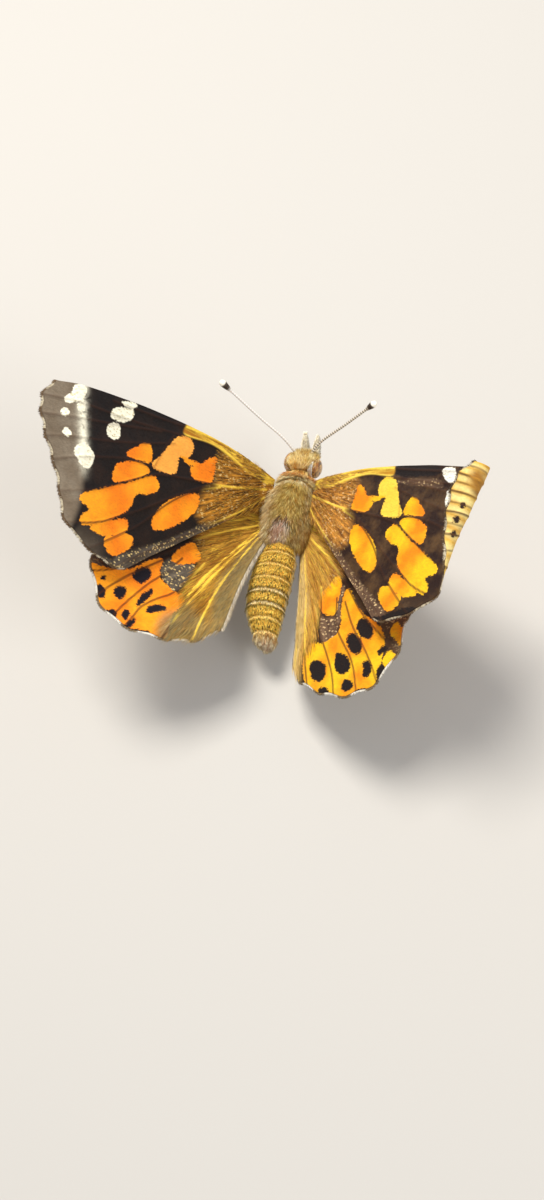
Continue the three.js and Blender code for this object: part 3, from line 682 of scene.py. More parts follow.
def sums(tree, operation, first, second=0.0, clamp=False):
    node = add(tree, "ShaderNodeMath", {"operation": operation, "use_clamp": clamp})
    feed(tree, node.inputs[0], first)
    feed(tree, node.inputs[1], second)
    return node.outputs[0]


def blend(tree, share, first, second, kind="MIX"):
    node = add(tree, "ShaderNodeMix", {"data_type": "RGBA", "blend_type": kind, "clamp_factor": True})
    feed(tree, node.inputs[0], share)
    feed(tree, node.inputs[6], first)
    feed(tree, node.inputs[7], second)
    return node.outputs[2]


def spread(tree, value, low, high, to_low=0.0, to_high=1.0):
    return add(
        tree, "ShaderNodeMapRange", Value=value, From_Min=low, From_Max=high, To_Min=to_low, To_Max=to_high,
    ).outputs["Result"]


def stretched(tree, vector, scale):
    node = add(tree, "ShaderNodeMapping", {"vector_type": "POINT"}, Vector=vector, Scale=scale)
    return node.outputs["Vector"]


def noise(tree, vector, scale, detail=2.0, roughness=0.5):
    node = add(tree, "ShaderNodeTexNoise", Vector=vector, Scale=scale, Detail=detail, Roughness=roughness)
    return node.outputs["Fac"]


def attribute(tree, name, output="Fac"):
    return add(tree, "ShaderNodeAttribute", {"attribute_name": name}).outputs[output]


def new_group(name, inputs, outputs):
    """An empty node group with named sockets: inputs with their kind and value, outputs with their kind."""
    kinds = {"value": "NodeSocketFloat", "vector": "NodeSocketVector", "colour": "NodeSocketColor"}
    tree = bpy.data.node_groups.new(name, "ShaderNodeTree")
    for title, (kind, value) in inputs.items():
        socket = tree.interface.new_socket(name=title, in_out="INPUT", socket_type=kinds[kind])
        if value is not None:
            socket.default_value = value
    for title, kind in outputs.items():
        tree.interface.new_socket(name=title, in_out="OUTPUT", socket_type=kinds[kind])
    return tree, tree.nodes.new("NodeGroupInput").outputs, tree.nodes.new("NodeGroupOutput").inputs


def use_group(tree, group, **inputs):
    node = tree.nodes.new("ShaderNodeGroup")
    node.node_tree = group
    for key, value in inputs.items():
        feed(tree, node.inputs[key.replace("_", " ")], value)
    return node.outputs


def scale_rows_group():
    """Overlapping wing scales in rows: a random shade for each and the height of its free edge."""
    tree, given, out = new_group(
        "scale rows",
        {"Place": ("vector", None), "Scales per mm": ("value", 9.0)},
        {"Shade": "value", "Height": "value"},
    )
    place = stretched(tree, given["Place"], (0.62, 1.0, 1.0))
    cells = add(
        tree, "ShaderNodeTexVoronoi", {"feature": "F1", "voronoi_dimensions": "3D"},
        Vector=place, Scale=given["Scales per mm"], Randomness=0.85,
    )
    shade = add(tree, "ShaderNodeSeparateColor", Color=cells.outputs["Color"]).outputs[0]
    feed(tree, out["Shade"], shade)
    feed(tree, out["Height"], sums(tree, "SUBTRACT", shade, cells.outputs["Distance"]))
    return tree


def ragged_edge_group():
    """A marking's mask from its depth, with an edge that runs from scale to scale."""
    tree, given, out = new_group(
        "ragged edge",
        {
            "Depth": ("value", 0.0), "Scale shade": ("value", 0.5), "Place": ("vector", None),
            "Raggedness": ("value", 0.14), "Softness": ("value", 0.07),
        },
        {"Mask": "value"},
    )
    wander = sums(tree, "SUBTRACT", noise(tree, given["Place"], 2.2, 3.0, 0.6), 0.5)
    step = sums(tree, "SUBTRACT", given["Scale shade"], 0.5)
    wild = sums(tree, "ADD", step, sums(tree, "MULTIPLY", wander, 1.6))
    jitter = sums(tree, "MULTIPLY", wild, given["Raggedness"])
    depth = sums(tree, "DIVIDE", sums(tree, "ADD", given["Depth"], jitter), given["Softness"])
    feed(tree, out["Mask"], sums(tree, "ADD", depth, 0.5, clamp=True))
    return tree


def hair_lines_group():
    """Fine hair combed one way: streaks across a coordinate whose first axis runs across the hair."""
    tree, given, out = new_group(
        "hair lines",
        {"Comb": ("vector", None), "Fineness": ("value", 1.0)},
        {"Fine": "value", "Broad": "value"},
    )
    fine = noise(tree, stretched(tree, given["Comb"], (1.0, 0.16, 1.0)), given["Fineness"], 3.0, 0.65)
    broad = noise(tree, stretched(tree, given["Comb"], (0.35, 0.06, 1.0)), given["Fineness"], 2.0, 0.5)
    feed(tree, out["Fine"], spread(tree, fine, 0.3, 0.7))
    feed(tree, out["Broad"], spread(tree, broad, 0.3, 0.7))
    return tree


SCALE_ROWS = scale_rows_group()
RAGGED_EDGE = ragged_edge_group()
HAIR_LINES = hair_lines_group()


def new_material(name):
    material = bpy.data.materials.new(name)
    material.use_nodes = True
    tree = material.node_tree
    return material, tree, tree.nodes["Principled BSDF"]


def hair_surface(tree, shader, colour, shade):
    """Colour and gloss of a coat, whose tufts carry a random shade."""
    feed(tree, shader.inputs["Base Color"], colour)
    feed(tree, shader.inputs["Roughness"], spread(tree, shade, 0.0, 1.0, 0.45, 0.65))
    shader.inputs["Specular IOR Level"].default_value = 0.3
    shader.inputs["Sheen Weight"].default_value = 0.02


def finish_surface(tree, shader, colour, height, roughness, strength=0.4, depth=0.00004):
    feed(tree, shader.inputs["Base Color"], colour)
    feed(tree, shader.inputs["Roughness"], roughness)
    bump = add(tree, "ShaderNodeBump", Strength=strength, Distance=depth, Height=height)
    feed(tree, shader.inputs["Normal"], bump.outputs["Normal"])


def wing_material(name, colours, vein_on_ground=0.3):
    """Wing scales: ground colour, then each marking over it, then veins and the grain of the scales."""
    material, tree, shader = new_material(name)
    place = attribute(tree, "plan", "Vector")
    rows = use_group(tree, SCALE_ROWS, Place=place, Scales_per_mm=8.5)
    lines = use_group(tree, HAIR_LINES, Comb=attribute(tree, "comb", "Vector"), Fineness=2.6)
    shade, fine, broad = rows["Shade"], lines["Fine"], lines["Broad"]

    def marking(field, raggedness=0.16, softness=0.08):
        return use_group(
            tree, RAGGED_EDGE, Depth=attribute(tree, field), Scale_shade=shade, Place=place,
            Raggedness=raggedness, Softness=softness)["Mask"]

    def pair(name, share):
        return blend(tree, share, colours[f"{name}_dark"], colours[name])

    patchy = noise(tree, place, 0.55, 3.0, 0.6)
    pale_scale = spread(tree, shade, 0.86, 0.92)
    colour = pair("ground", spread(tree, patchy, 0.42, 0.72))
    # Grey-brown scales; on the left forewing's inner margin they stand for a painted sheen.
    sheen = blend(tree, sums(tree, "MULTIPLY", pale_scale, 0.7), pair("sheen", fine), colours["speck"])
    colour = blend(tree, attribute(tree, "sheen"), colour, sheen)
    # Patches of the scales' own colour, and on the forewing tips a painted sheen.
    colour = blend(tree, attribute(tree, "bloom"), colour, pair("bloom", patchy))
    hatched = blend(tree, sums(tree, "MULTIPLY", pale_scale, 0.6), pair("basal", fine), colours["speck"])
    colour = blend(tree, attribute(tree, "basal"), colour, hatched)
    orange = marking("orange")
    colour = blend(tree, orange, colour, pair("orange", spread(tree, noise(tree, place, 0.3, 2.0), 0.36, 0.6)))
    colour = blend(tree, marking("pale"), colour, pair("pale", noise(tree, place, 0.5, 2.0)))
    colour = blend(tree, marking("black", 0.2, 0.14), colour, colours["black"])
    colour = blend(tree, marking("white", 0.1, 0.1), colour, pair("white", spread(tree, shade, 0.0, 0.3)))
    # The painted highlight along the tip's crease, in the white of the scales.
    sparkle = sums(
        tree, "MULTIPLY", attribute(tree, "sparkle"), spread(tree, noise(tree, place, 1.0, 3.0, 0.7), 0.32, 0.54))
    colour = blend(tree, sparkle, colour, colours["white"])
    streaky = sums(tree, "ADD", sums(tree, "MULTIPLY", fine, 0.55), sums(tree, "MULTIPLY", broad, 0.45))
    colour = blend(tree, attribute(tree, "gold"), colour, pair("gold", spread(tree, streaky, 0.25, 0.75)))
    colour = blend(tree, attribute(tree, "silver"), colour, pair("silver", fine))
    hairy = sums(tree, "MAXIMUM", attribute(tree, "basal"), attribute(tree, "gold"))
    vein = spread(tree, attribute(tree, "vein"), 0.35, 0.9)
    shown = spread(tree, sums(tree, "MAXIMUM", orange, hairy), 0.0, 1.0, vein_on_ground, 0.8)
    on_ground = sums(tree, "MULTIPLY", vein, shown)
    colour = blend(tree, on_ground, colour, blend(tree, hairy, colours["vein"], colours["gold"]))
    grain = spread(tree, shade, 0.0, 1.0, 0.88, 1.08)
    grey = add(tree, "ShaderNodeCombineColor", Red=grain, Green=grain, Blue=grain).outputs[0]
    colour = blend(tree, 1.0, colour, grey, "MULTIPLY")
    height = sums(tree, "ADD", rows["Height"], sums(tree, "MULTIPLY", fine, attribute(tree, "hairy")))
    finish_surface(tree, shader, colour, height, spread(tree, shade, 0.0, 1.0, 0.55, 0.8), 0.35)
    shader.inputs["Specular IOR Level"].default_value = 0.22
    shader.inputs["Sheen Weight"].default_value = 0.04
    return material


def palette(black, vein, speck, **pairs):
    """The colours of one face of a wing. Each pair holds a light and a dark tone."""
    colours = {"black": paint(*black), "vein": paint(*vein), "speck": paint(*speck)}
    for name, (light, dark) in pairs.items():
        colours[name], colours[f"{name}_dark"] = paint(*light), paint(*dark)
    return colours


# The two sides are lit and shaded copies of one butterfly's colours: the right wing's browner ground and yellower
# orange are painted light, and the left wing's darker ground and redder orange are painted shade.
UPPER = {
    "left": palette(
        ground=((36, 21, 14), (17, 9, 8)), sheen=((112, 102, 88), (54, 44, 36)),
        bloom=((142, 130, 112), (84, 64, 42)), basal=((232, 160, 52), (26, 14, 8)),
        orange=((255, 162, 26), (244, 128, 16)), pale=((255, 184, 84), (250, 158, 52)),
        white=((250, 244, 218), (216, 206, 162)), gold=((255, 216, 76), (172, 112, 24)),
        silver=((160, 148, 104), (66, 58, 36)), black=(20, 14, 24), vein=(62, 30, 12), speck=(236, 206, 136)),
    "right": palette(
        ground=((96, 70, 42), (40, 22, 17)), sheen=((128, 100, 76), (74, 52, 42)),
        bloom=((116, 92, 62), (66, 46, 32)), basal=((240, 168, 70), (92, 50, 24)),
        orange=((255, 198, 26), (248, 140, 14)), pale=((255, 220, 90), (254, 202, 44)),
        white=((252, 248, 232), (214, 206, 176)), gold=((255, 224, 88), (190, 136, 34)),
        silver=((238, 204, 124), (186, 136, 64)), black=(26, 18, 18), vein=(76, 42, 20), speck=(238, 206, 150)),
}
UNDER_FORE = palette(
    ground=((240, 196, 78), (206, 152, 54)), sheen=((222, 192, 138), (200, 160, 100)),
    bloom=((255, 242, 176), (242, 208, 112)), basal=((236, 172, 122), (214, 140, 90)),
    orange=((240, 146, 78), (230, 122, 70)), pale=((244, 184, 124), (238, 164, 100)),
    white=((248, 238, 214), (226, 204, 160)), gold=((182, 128, 44), (128, 82, 26)),
    silver=((222, 192, 138), (180, 150, 100)), black=(44, 28, 22), vein=(84, 54, 26), speck=(250, 236, 190))
UNDER_HIND = palette(
    ground=((198, 170, 122), (134, 104, 66)), sheen=((176, 146, 100), (140, 110, 70)),
    bloom=((200, 176, 130), (160, 130, 90)), basal=((208, 180, 136), (150, 118, 80)),
    orange=((210, 160, 90), (200, 150, 84)), pale=((230, 206, 160), (210, 180, 130)),
    white=((246, 238, 218), (220, 204, 170)), gold=((170, 128, 70), (120, 84, 46)),
    silver=((222, 200, 160), (180, 150, 110)), black=(56, 50, 52), vein=(242, 230, 204), speck=(240, 222, 184))


# ---- pieces ----
def write_attribute(mesh, name, kind, values):
    layer = mesh.attributes.new(name, kind, "POINT")
    layer.data.foreach_set("vector" if kind == "FLOAT_VECTOR" else "value", np.asarray(values, np.float32).ravel())


def vertex_places(mesh):
    places = np.empty(len(mesh.vertices) * 3, np.float32)
    mesh.vertices.foreach_get("co", places)
    return places.reshape(-1, 3).astype(float)


def set_places(mesh, points):
    mesh.vertices.foreach_set("co", in_frame(points).astype(np.float32).ravel())
    mesh.update()


def corner_vertices(mesh):
    corners = np.empty(len(mesh.loops), np.int32)
    mesh.loops.foreach_get("vertex_index", corners)
    return corners


def mesh_of(bm, name):
    mesh = bpy.data.meshes.new(name)
    bm.to_mesh(mesh)
    bm.free()
    return mesh


def linked(name, data):
    thing = bpy.data.objects.new(name, data)
    bpy.context.scene.collection.objects.link(thing)
    return thing


def write_chart(mesh, uv):
    mesh.uv_layers.new(name="OFBake").data.foreach_set("uv", uv.astype(np.float32).ravel())


def finished_piece(name, mesh, materials, nodes=()):
    """Links a finished mesh as a piece of the object, hangs it on the root and hides the solids it stands in for."""
    piece = linked(name, mesh)
    for material in materials:
        mesh.materials.append(material)
    mesh.polygons.foreach_set("use_smooth", np.ones(len(mesh.polygons), bool))
    mesh.update()
    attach(piece, "root")
    if nodes:
        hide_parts(*nodes)
    return piece


WING_CHART = {"left": -2.0, "low": -20.0, "width": 32.0, "height": 25.0}


def wing_chart(a, b, under):
    """The place of a plan point on the wing's own map, undersides beside the upper sides."""
    u = (a - WING_CHART["left"]) / WING_CHART["width"] * 0.49 + 0.5 * under
    return np.stack([u, (b - WING_CHART["low"]) / WING_CHART["height"]], -1)


HAIR_FAN = (-2.5, 1.0)


def comb_of(places):
    """A coordinate that runs across the hair as it fans out from near the hinge."""
    a, b = (places - HAIR_FAN).T
    reach = np.hypot(a, b)
    return np.stack([np.arctan2(b, a) * 12, reach * 0.6, np.zeros(len(a))], -1)


def ripple(places):
    """The slow waves of a thin dry membrane."""
    a, b = places[:, 0], places[:, 1]
    return 0.05 * np.sin(0.9 * a + 0.6 * b) * np.sin(0.35 * a - 0.8 * b + 1.0) * smooth(a - b, 3, 9)


def wing_piece(kind, side, materials):
    spec = WINGS[kind]
    across, along = spec["grid"]
    bm = bmesh.new()
    bmesh.ops.create_grid(bm, x_segments=across, y_segments=along, size=0.5)
    bmesh.ops.solidify(bm, geom=bm.faces[:], thickness=0.1)
    heights = [v.co.z for v in bm.verts]
    middle = (min(heights) + max(heights)) / 2
    bmesh.ops.recalc_face_normals(bm, faces=bm.faces[:])
    if side == "left":
        bmesh.ops.reverse_faces(bm, faces=bm.faces[:])
    mesh = mesh_of(bm, f"{kind}_{side}")
    flat = vertex_places(mesh)
    top = flat[:, 2] > middle
    lane = (flat[:, 0] + 0.5).clip(0, 1) * (len(spec["plan"]) - 1)
    share = (flat[:, 1] + 0.5).clip(0, 1) * MARGIN_SHARE
    places = plan_point(kind, lane, share)
    a, b = places[:, 0], places[:, 1]
    vein = vein_fields(places, spec["veins"][side])
    upper, under = spec["upper"](places, side), spec["under"](places, side)
    # Painted crease shade on the forewing underside, carried in the vein field.
    folds = vein_fields(places, UNDER_TIP_FOLDS) * 0.8 * (kind == "forewing")
    facing = np.where(top, 1, -1)
    h = facing * (MEMBRANE_HALF + VEIN_RELIEF * vein * smooth(a - b, 1, 4)) + ripple(places)
    set_places(mesh, on_wing(kind, side, a, b, h))
    write_attribute(mesh, "plan", "FLOAT_VECTOR", np.stack([a, b, facing * 5.0], -1))
    write_attribute(mesh, "comb", "FLOAT_VECTOR", comb_of(places))
    write_attribute(mesh, "vein", "FLOAT", np.where(top, vein, np.maximum(vein, folds)))
    write_attribute(mesh, "hairy", "FLOAT", np.maximum(upper["basal"], upper["gold"]).clip(0, 1) * top)
    for field in upper:
        write_attribute(mesh, field, "FLOAT", np.where(top, upper[field], under[field]))
    chart_wing(mesh, a, b, top)
    return finished_piece(f"{kind}_{side}_scales", mesh, materials, [f"{kind}_{side}"])


def chart_wing(mesh, a, b, top):
    """Gives a wing its map, with the rim as a narrow strip round the upper side's chart."""
    corners = corner_vertices(mesh)
    faces = np.repeat(np.arange(len(mesh.polygons)), 4)
    count_top = np.bincount(faces, top[corners])
    rim = ((count_top > 0) & (count_top < 4))[faces]
    under = ~top[corners]
    uv = wing_chart(a[corners], b[corners], under & ~rim)
    centre = wing_chart(a[top], b[top], False).mean(0)
    uv[rim & under] += unit(uv[rim & under] - centre) * 0.004
    write_chart(mesh, uv)
    mesh.polygons.foreach_set("material_index", (count_top == 0).astype(np.int32))


UNDER_MATERIALS = {
    "forewing": wing_material("forewing underside scales", UNDER_FORE, 0.9),
    "hindwing": wing_material("hindwing underside scales", UNDER_HIND, 0.85),
}
UPPER_MATERIALS = {side: wing_material(f"{side} wing scales", UPPER[side]) for side in SIDES}

for side in SIDES:
    for kind in WINGS:
        wing_piece(kind, side, [UPPER_MATERIALS[side], UNDER_MATERIALS[kind]])


# ---- body: one skin from the tail to the face ----
# Stations along the body, from the tail: y, then centre x, z, half width, half height and depth of the coat.
BODY = np.array([
    [-11.72, 0.0, 3.25, 0.05, 0.05, 0.0],
    [-11.6, 0.0, 3.25, 0.45, 0.45, 0.1],
    [-11.1, -0.13, 3.3, 1.05, 0.95, 0.2],
    [-9.8, -0.38, 3.45, 1.65, 1.55, 0.24],
    [-7.8, -0.62, 3.75, 2.1, 1.95, 0.24],
    [-5.4, -0.5, 4.15, 2.25, 2.15, 0.24],
    [-3.2, -0.25, 4.5, 2.15, 2.1, 0.26],
    [-1.8, -0.05, 4.75, 1.7, 1.8, 0.3],
    [-1.2, 0.0, 4.85, 1.4, 1.5, 0.34],
    [-0.8, 0.0, 4.9, 1.9, 1.95, 0.44],
    [0.3, 0.15, 5.1, 2.2, 2.3, 0.5],
    [2.2, 0.3, 5.4, 2.35, 2.5, 0.52],
    [4.0, 0.5, 5.75, 2.0, 2.25, 0.5],
    [5.1, 0.66, 5.95, 1.65, 1.7, 0.45],
    [5.65, 0.7, 6.1, 1.3, 1.3, 0.35],
    [5.95, 0.8, 6.2, 1.2, 1.2, 0.3],
    [6.4, 0.9, 6.3, 1.38, 1.28, 0.3],
    [6.85, 1.0, 6.35, 1.45, 1.35, 0.3],
    [7.4, 1.14, 6.35, 1.3, 1.22, 0.3],
    [7.9, 1.26, 6.33, 0.8, 0.8, 0.28],
    [8.1, 1.3, 6.32, 0.3, 0.35, 0.2],
    [8.14, 1.3, 6.32, 0.05, 0.05, 0.0],
])
WAIST_Y = -1.2
ABDOMEN_RINGS = 8
RING_SPAN = (WAIST_Y - BODY[1, 0]) / ABDOMEN_RINGS
RING_GROOVE = 0.06
THINNEST = 0.02


def between(table, y):
    """Values of a table at y, without overshoot: a curve whose slopes never pass those on both sides."""
    at, values = table[:, 0], table[:, 1:]
    step = np.diff(at)
    slope = np.diff(values, axis=0) / step[:, None]
    product = slope[:-1] * slope[1:]
    total = slope[:-1] + slope[1:]
    inner = np.where(product > 0, 2 * product / np.where(total == 0, 1, total), 0)
    slopes = np.vstack([slope[:1], inner, slope[-1:]])
    low = np.clip(np.searchsorted(at, y) - 1, 0, len(at) - 2)
    width = step[low][:, None]
    share = ((y - at[low])[:, None] / width).clip(0, 1)
    s2, s3 = share**2, share**3
    return (
        (2 * s3 - 3 * s2 + 1) * values[low] + (s3 - 2 * s2 + share) * width * slopes[low]
        + (3 * s2 - 2 * s3) * values[low + 1] + (s3 - s2) * width * slopes[low + 1]
    )


def ring_place(y):
    return (WAIST_Y - y) / RING_SPAN


def body_point(y, turn):
    """A point on the skin at y, turned from the back round the right side."""
    x, z, wide, high, coat = between(BODY, y).T
    place = ring_place(y)
    away = np.abs(place - np.round(place))
    groove = RING_GROOVE * np.maximum(0, 1 - away / 0.2) * (place > 0.5) * (y < WAIST_Y)
    wide, high = (np.maximum(THINNEST, half * (1 - groove) - coat) for half in (wide, high))
    return np.stack([x + np.sin(turn) * wide, y, z + np.cos(turn) * high], -1)


def ball_mesh(name, sides, rings):
    """A closed round mesh, with each vertex's turn round its axis and share along it."""
    bm = bmesh.new()
    bmesh.ops.create_uvsphere(bm, u_segments=sides, v_segments=rings, radius=1)
    mesh = mesh_of(bm, name)
    places = vertex_places(mesh)
    turn = np.arctan2(places[:, 0], places[:, 1])
    share = np.arccos(np.clip(-places[:, 2], -1, 1)) / np.pi
    return mesh, turn, share


def round_chart(around, share):
    """The place on a round form's map: the share of its turn across and its share along."""
    return np.stack([0.02 + 0.92 * around, 0.02 + 0.96 * share], -1)


def turn_share(turn):
    return (turn / (2 * np.pi)) % 1


def chart_by_share(mesh, turn, share):
    """Gives a round mesh its map, cut below."""
    corners = corner_vertices(mesh)
    starts = np.empty(len(mesh.polygons), np.int32)
    counts = np.empty(len(mesh.polygons), np.int32)
    mesh.polygons.foreach_get("loop_start", starts)
    mesh.polygons.foreach_get("loop_total", counts)
    u = turn_share(turn[corners])
    u = u + np.round(np.repeat(u[starts], counts) - u)
    write_chart(mesh, round_chart(u.clip(-0.02, 1.04), share[corners]))


def body_y(share):
    """Rows along the body lie close together at its two ends."""
    return BODY[0, 0] + (BODY[-1, 0] - BODY[0, 0]) * (1 - np.cos(np.pi * share)) / 2


# ---- coat: closed flat tufts, each a bent spike of three sides ----
TUFT_CORNERS = ((1.0, -0.3), (0.0, 0.6), (-1.0, -0.3))
TUFT_PATCH = 0.003
ALL_ROUND = (-180, 180)


def tuft_faces(sections):
    """The faces of one tuft of three-cornered sections and a tip."""
    faces = [(0, 2, 1)]
    for section in range(sections - 1):
        low, high = 3 * section, 3 * section + 3
        faces += [(low + c, low + (c + 1) % 3, high + (c + 1) % 3, high + c) for c in range(3)]
    last = 3 * (sections - 1)
    return faces + [(last + c, last + (c + 1) % 3, last + 3) for c in range(3)]


def tuft_mesh(name, paths, up_hint, width, profile, uv, fields):
    """One mesh of many tufts. paths holds each tuft's points from root to tip, and width its half width."""
    count, points = paths.shape[:2]
    sections = points - 1
    ahead = unit(np.gradient(paths, axis=1))
    across = unit(np.cross(up_hint, ahead[:, 0]))
    corners = np.array(TUFT_CORNERS)
    places = []
    for section in range(sections):
        up = unit(np.cross(ahead[:, section], across))
        reach = (width * profile[section])[:, None]
        for side, rise in corners:
            places.append(paths[:, section] + across * side * reach + up * rise * reach)
    places.append(paths[:, -1])
    places = np.stack(places, 1).reshape(-1, 3)
    per_tuft = 3 * sections + 1
    faces = tuft_faces(sections)
    loops = np.concatenate(faces)
    totals = np.array([len(face) for face in faces], np.int32)
    vertex_index = (np.arange(count)[:, None] * per_tuft + loops).ravel().astype(np.int32)
    loop_total = np.tile(totals, count)
    mesh = bpy.data.meshes.new(name)
    mesh.vertices.add(len(places))
    mesh.loops.add(len(vertex_index))
    mesh.polygons.add(len(loop_total))
    mesh.loops.foreach_set("vertex_index", vertex_index)
    mesh.polygons.foreach_set("loop_start", np.concatenate([[0], np.cumsum(loop_total)[:-1]]).astype(np.int32))
    mesh.polygons.foreach_set("loop_total", loop_total)
    set_places(mesh, places)
    mesh.update(calc_edges=True)
    along = np.repeat(np.arange(points), [3] * sections + [1]) / sections
    write_attribute(mesh, "tip", "FLOAT", np.tile(along, count))
    for field, values in fields.items():
        write_attribute(mesh, field, "FLOAT", np.repeat(values, per_tuft))
    local = np.stack([np.append(np.tile([0.0, 0.5, 1.0], sections), 0.5), along], -1) * TUFT_PATCH
    patch = (uv[:, None] + local).reshape(-1, 2)
    write_chart(mesh, patch[vertex_index])
    return mesh


def bent_paths(root, start, end, length, points):
    """Paths that leave each root one way and bend over to another."""
    shares = (np.arange(points - 1) + 0.5) / (points - 1)
    path = [root]
    for share in shares:
        step = unit(start * (1 - share) + end * share) * (length / (points - 1))[:, None]
        path.append(path[-1] + step)
    return np.stack(path, 1)


def uneven(count, width, low=0.7, high=1.2):
    """Half widths of tufts, mixed about a usual one."""
    return rng.uniform(low, high, count) * width


def raised(lie, out, stand, mixing):
    """Directions at the root and at the tip, raised from lie towards out by about the angles of stand."""
    angles = [np.radians(rng.normal(angle, mixing, len(out)))[:, None] for angle in stand]
    return [unit(lie * np.cos(angle) + out * np.sin(angle)) for angle in angles]


LOCK_PULL = 0.7


def gathered(paths, locks):
    """Tufts that start near one another, drawn into locks, and the random tone of each tuft's lock."""
    root = paths[:, 0]
    middle = root[rng.integers(len(root), size=locks)]
    lock = np.argmin((middle**2).sum(-1) - 2 * root @ middle.T, axis=1)
    share = np.linspace(0, 1, paths.shape[1]) ** 1.5
    shift = (middle[lock] - root)[:, None] * share[:, None] * LOCK_PULL
    return paths + shift, rng.random(locks)[lock]


LONG_PROFILE = (0.6, 1.0, 0.62)
SHORT_PROFILE = (0.85, 1.0)


def tuft_piece(name, paths, up_hint, width, uv, fields, material):
    profile = LONG_PROFILE if paths.shape[1] == 4 else SHORT_PROFILE
    fields = fields if "shade" in fields else {"shade": rng.random(len(paths)), **fields}
    mesh = tuft_mesh(name, paths, up_hint, width, profile, uv, fields)
    return finished_piece(name, mesh, [material])


# ---- markings of the body ----
def bump_between(value, low, high, soft):
    return smooth(value, low - soft, low + soft) * (1 - smooth(value, high - soft, high + soft))


def body_zones(y, turn):
    """Shares of the coat's colours over the body: turn is 0 on the back and grows to the right."""
    degrees = np.degrees((turn + np.pi) % (2 * np.pi) - np.pi)
    under = smooth(np.abs(degrees), 95, 125)
    chest = bump_between(y, -0.9, 5.4, 0.4)
    belly = 1 - smooth(y, -1.6, -1.1)
    collar = bump_between(y, 5.15, 6.0, 0.2)
    pale_collar = bump_between(y, 4.85, 5.1, 0.1)
    streaks = 0.5 + 0.5 * np.sin(degrees * 0.55 + y * 1.7)
    # Silvery hair on the flanks; the left flank's broader, stronger band is painted light, as that side of the thorax
    # was lit.
    silver = chest * np.maximum(
        bump_between(degrees, -100, -42, 14), 0.6 * bump_between(degrees, 34, 62, 8) * streaks)
    olive = chest * bump_between(degrees, -28, 34, 8) * bump_between(y, 1.4, 4.9, 0.5)
    shield = chest * (1 - smooth(y, 1.0, 1.5))
    rosy = shield * bump_between(degrees, -30, 8, 5)
    arms = np.abs(y - 1.35 + np.abs(degrees + 8) * 0.035)
    dark = chest * np.exp(-((arms / 0.16) ** 2)) * bump_between(degrees, -34, 30, 4)
    dark = np.maximum(dark, np.exp(-(((y + 0.95) / 0.22) ** 2)) * 0.9)
    place = ring_place(y)
    ring = np.abs(place - np.round(place)) * RING_SPAN
    rings = belly * (place > 0.6)
    cream = rings * np.exp(-((ring / 0.11) ** 2)) * bump_between(degrees, -120, 120, 20)
    strong = np.exp(-((place - 4) / 0.35) ** 2) + np.exp(-((place - 5) / 0.35) ** 2)
    side_line = belly * bump_between(np.abs(degrees), 72, 98, 8)
    dark = np.maximum(dark, rings * np.exp(-(((ring - 0.24) / 0.1) ** 2)) * 0.55 * (0.4 + strong))
    tail = 1 - smooth(y, -11.4, -10.0)
    return {
        "olive": olive,
        "silver": np.maximum(silver, under * 0.8),
        "rosy": np.maximum(rosy, tail * 0.8),
        "dark": dark.clip(0, 1),
        "cream": np.max([
            cream * (0.25 + 0.65 * strong), side_line * 0.7, under * belly * 0.8, pale_collar * 0.8,
        ], axis=0).clip(0, 1),
        "speckle": belly * (1 - tail),
        "rust": collar * (1 - under),
    }


def body_markings_group():
    """The colours of skin and coat alike, from the zones of the body and a shade for each hair, with a painted shadow
    that darkens them towards the skin.
    """
    tree, given, out = new_group(
        "body markings", {"Shade": ("value", 0.5), "Darkness": ("value", 0.0)}, {"Colour": "colour"})
    shade = given["Shade"]
    colour = blend(tree, shade, paint(170, 92, 16), paint(255, 232, 132))
    gold = blend(tree, shade, paint(250, 172, 40), paint(255, 230, 108))
    speckled = blend(tree, spread(tree, shade, 0.11, 0.18), paint(66, 42, 14), gold)
    colour = blend(tree, attribute(tree, "speckle"), colour, speckled)
    for zone, dark, light in (
        ("rust", (216, 108, 24), (255, 222, 130)),
        ("olive", (186, 122, 30), (255, 234, 128)),
        ("silver", (240, 186, 92), (255, 250, 206)),
        ("rosy", (222, 154, 108), (255, 246, 226)),
        ("cream", (248, 222, 140), (255, 253, 226)),
        ("dark", (26, 18, 12), (66, 46, 26)),
    ):
        tone = blend(tree, shade, paint(*dark), paint(*light))
        colour = blend(tree, attribute(tree, zone), colour, tone)
    # Painted shadow: darkening that stands for the shade inside the coat.
    colour = blend(tree, given["Darkness"], colour, paint(20, 13, 8))
    feed(tree, out["Colour"], colour)
    return tree


BODY_MARKINGS = body_markings_group()


def skin_material():
    material, tree, shader = new_material("skin under the coat")
    place = add(tree, "ShaderNodeTexCoord").outputs["Object"]
    grain = noise(tree, stretched(tree, place, (9000, 2600, 9000)), 1.0, 3.0, 0.6)
    # The skin under the coat is darkened as painted shadow of the coat over it.
    colour = use_group(tree, BODY_MARKINGS, Shade=spread(tree, grain, 0.3, 0.7), Darkness=0.35)["Colour"]
    finish_surface(tree, shader, colour, grain, 0.75, 0.6, 0.00008)
    return material


def coat_material():
    material, tree, shader = new_material("body coat")
    tip = attribute(tree, "tip")
    # Each hair is darker towards its root: painted shadow inside the coat.
    colour = use_group(
        tree, BODY_MARKINGS, Shade=attribute(tree, "shade"),
        Darkness=spread(tree, tip, 0.0, 0.4, 0.12, 0.0))["Colour"]
    hair_surface(tree, shader, colour, attribute(tree, "shade"))
    return material


SKIN = skin_material()
COAT = coat_material()


def body_frames(y, turn):
    """The skin's point, its outward direction, and the directions backwards and round to the right."""
    step = 0.02
    root = body_point(y, turn)
    back = unit(body_point(y - step, turn) - body_point(y + step, turn))
    right = unit(body_point(y, turn + step) - body_point(y, turn - step))
    return root, unit(np.cross(back, right)), back, right


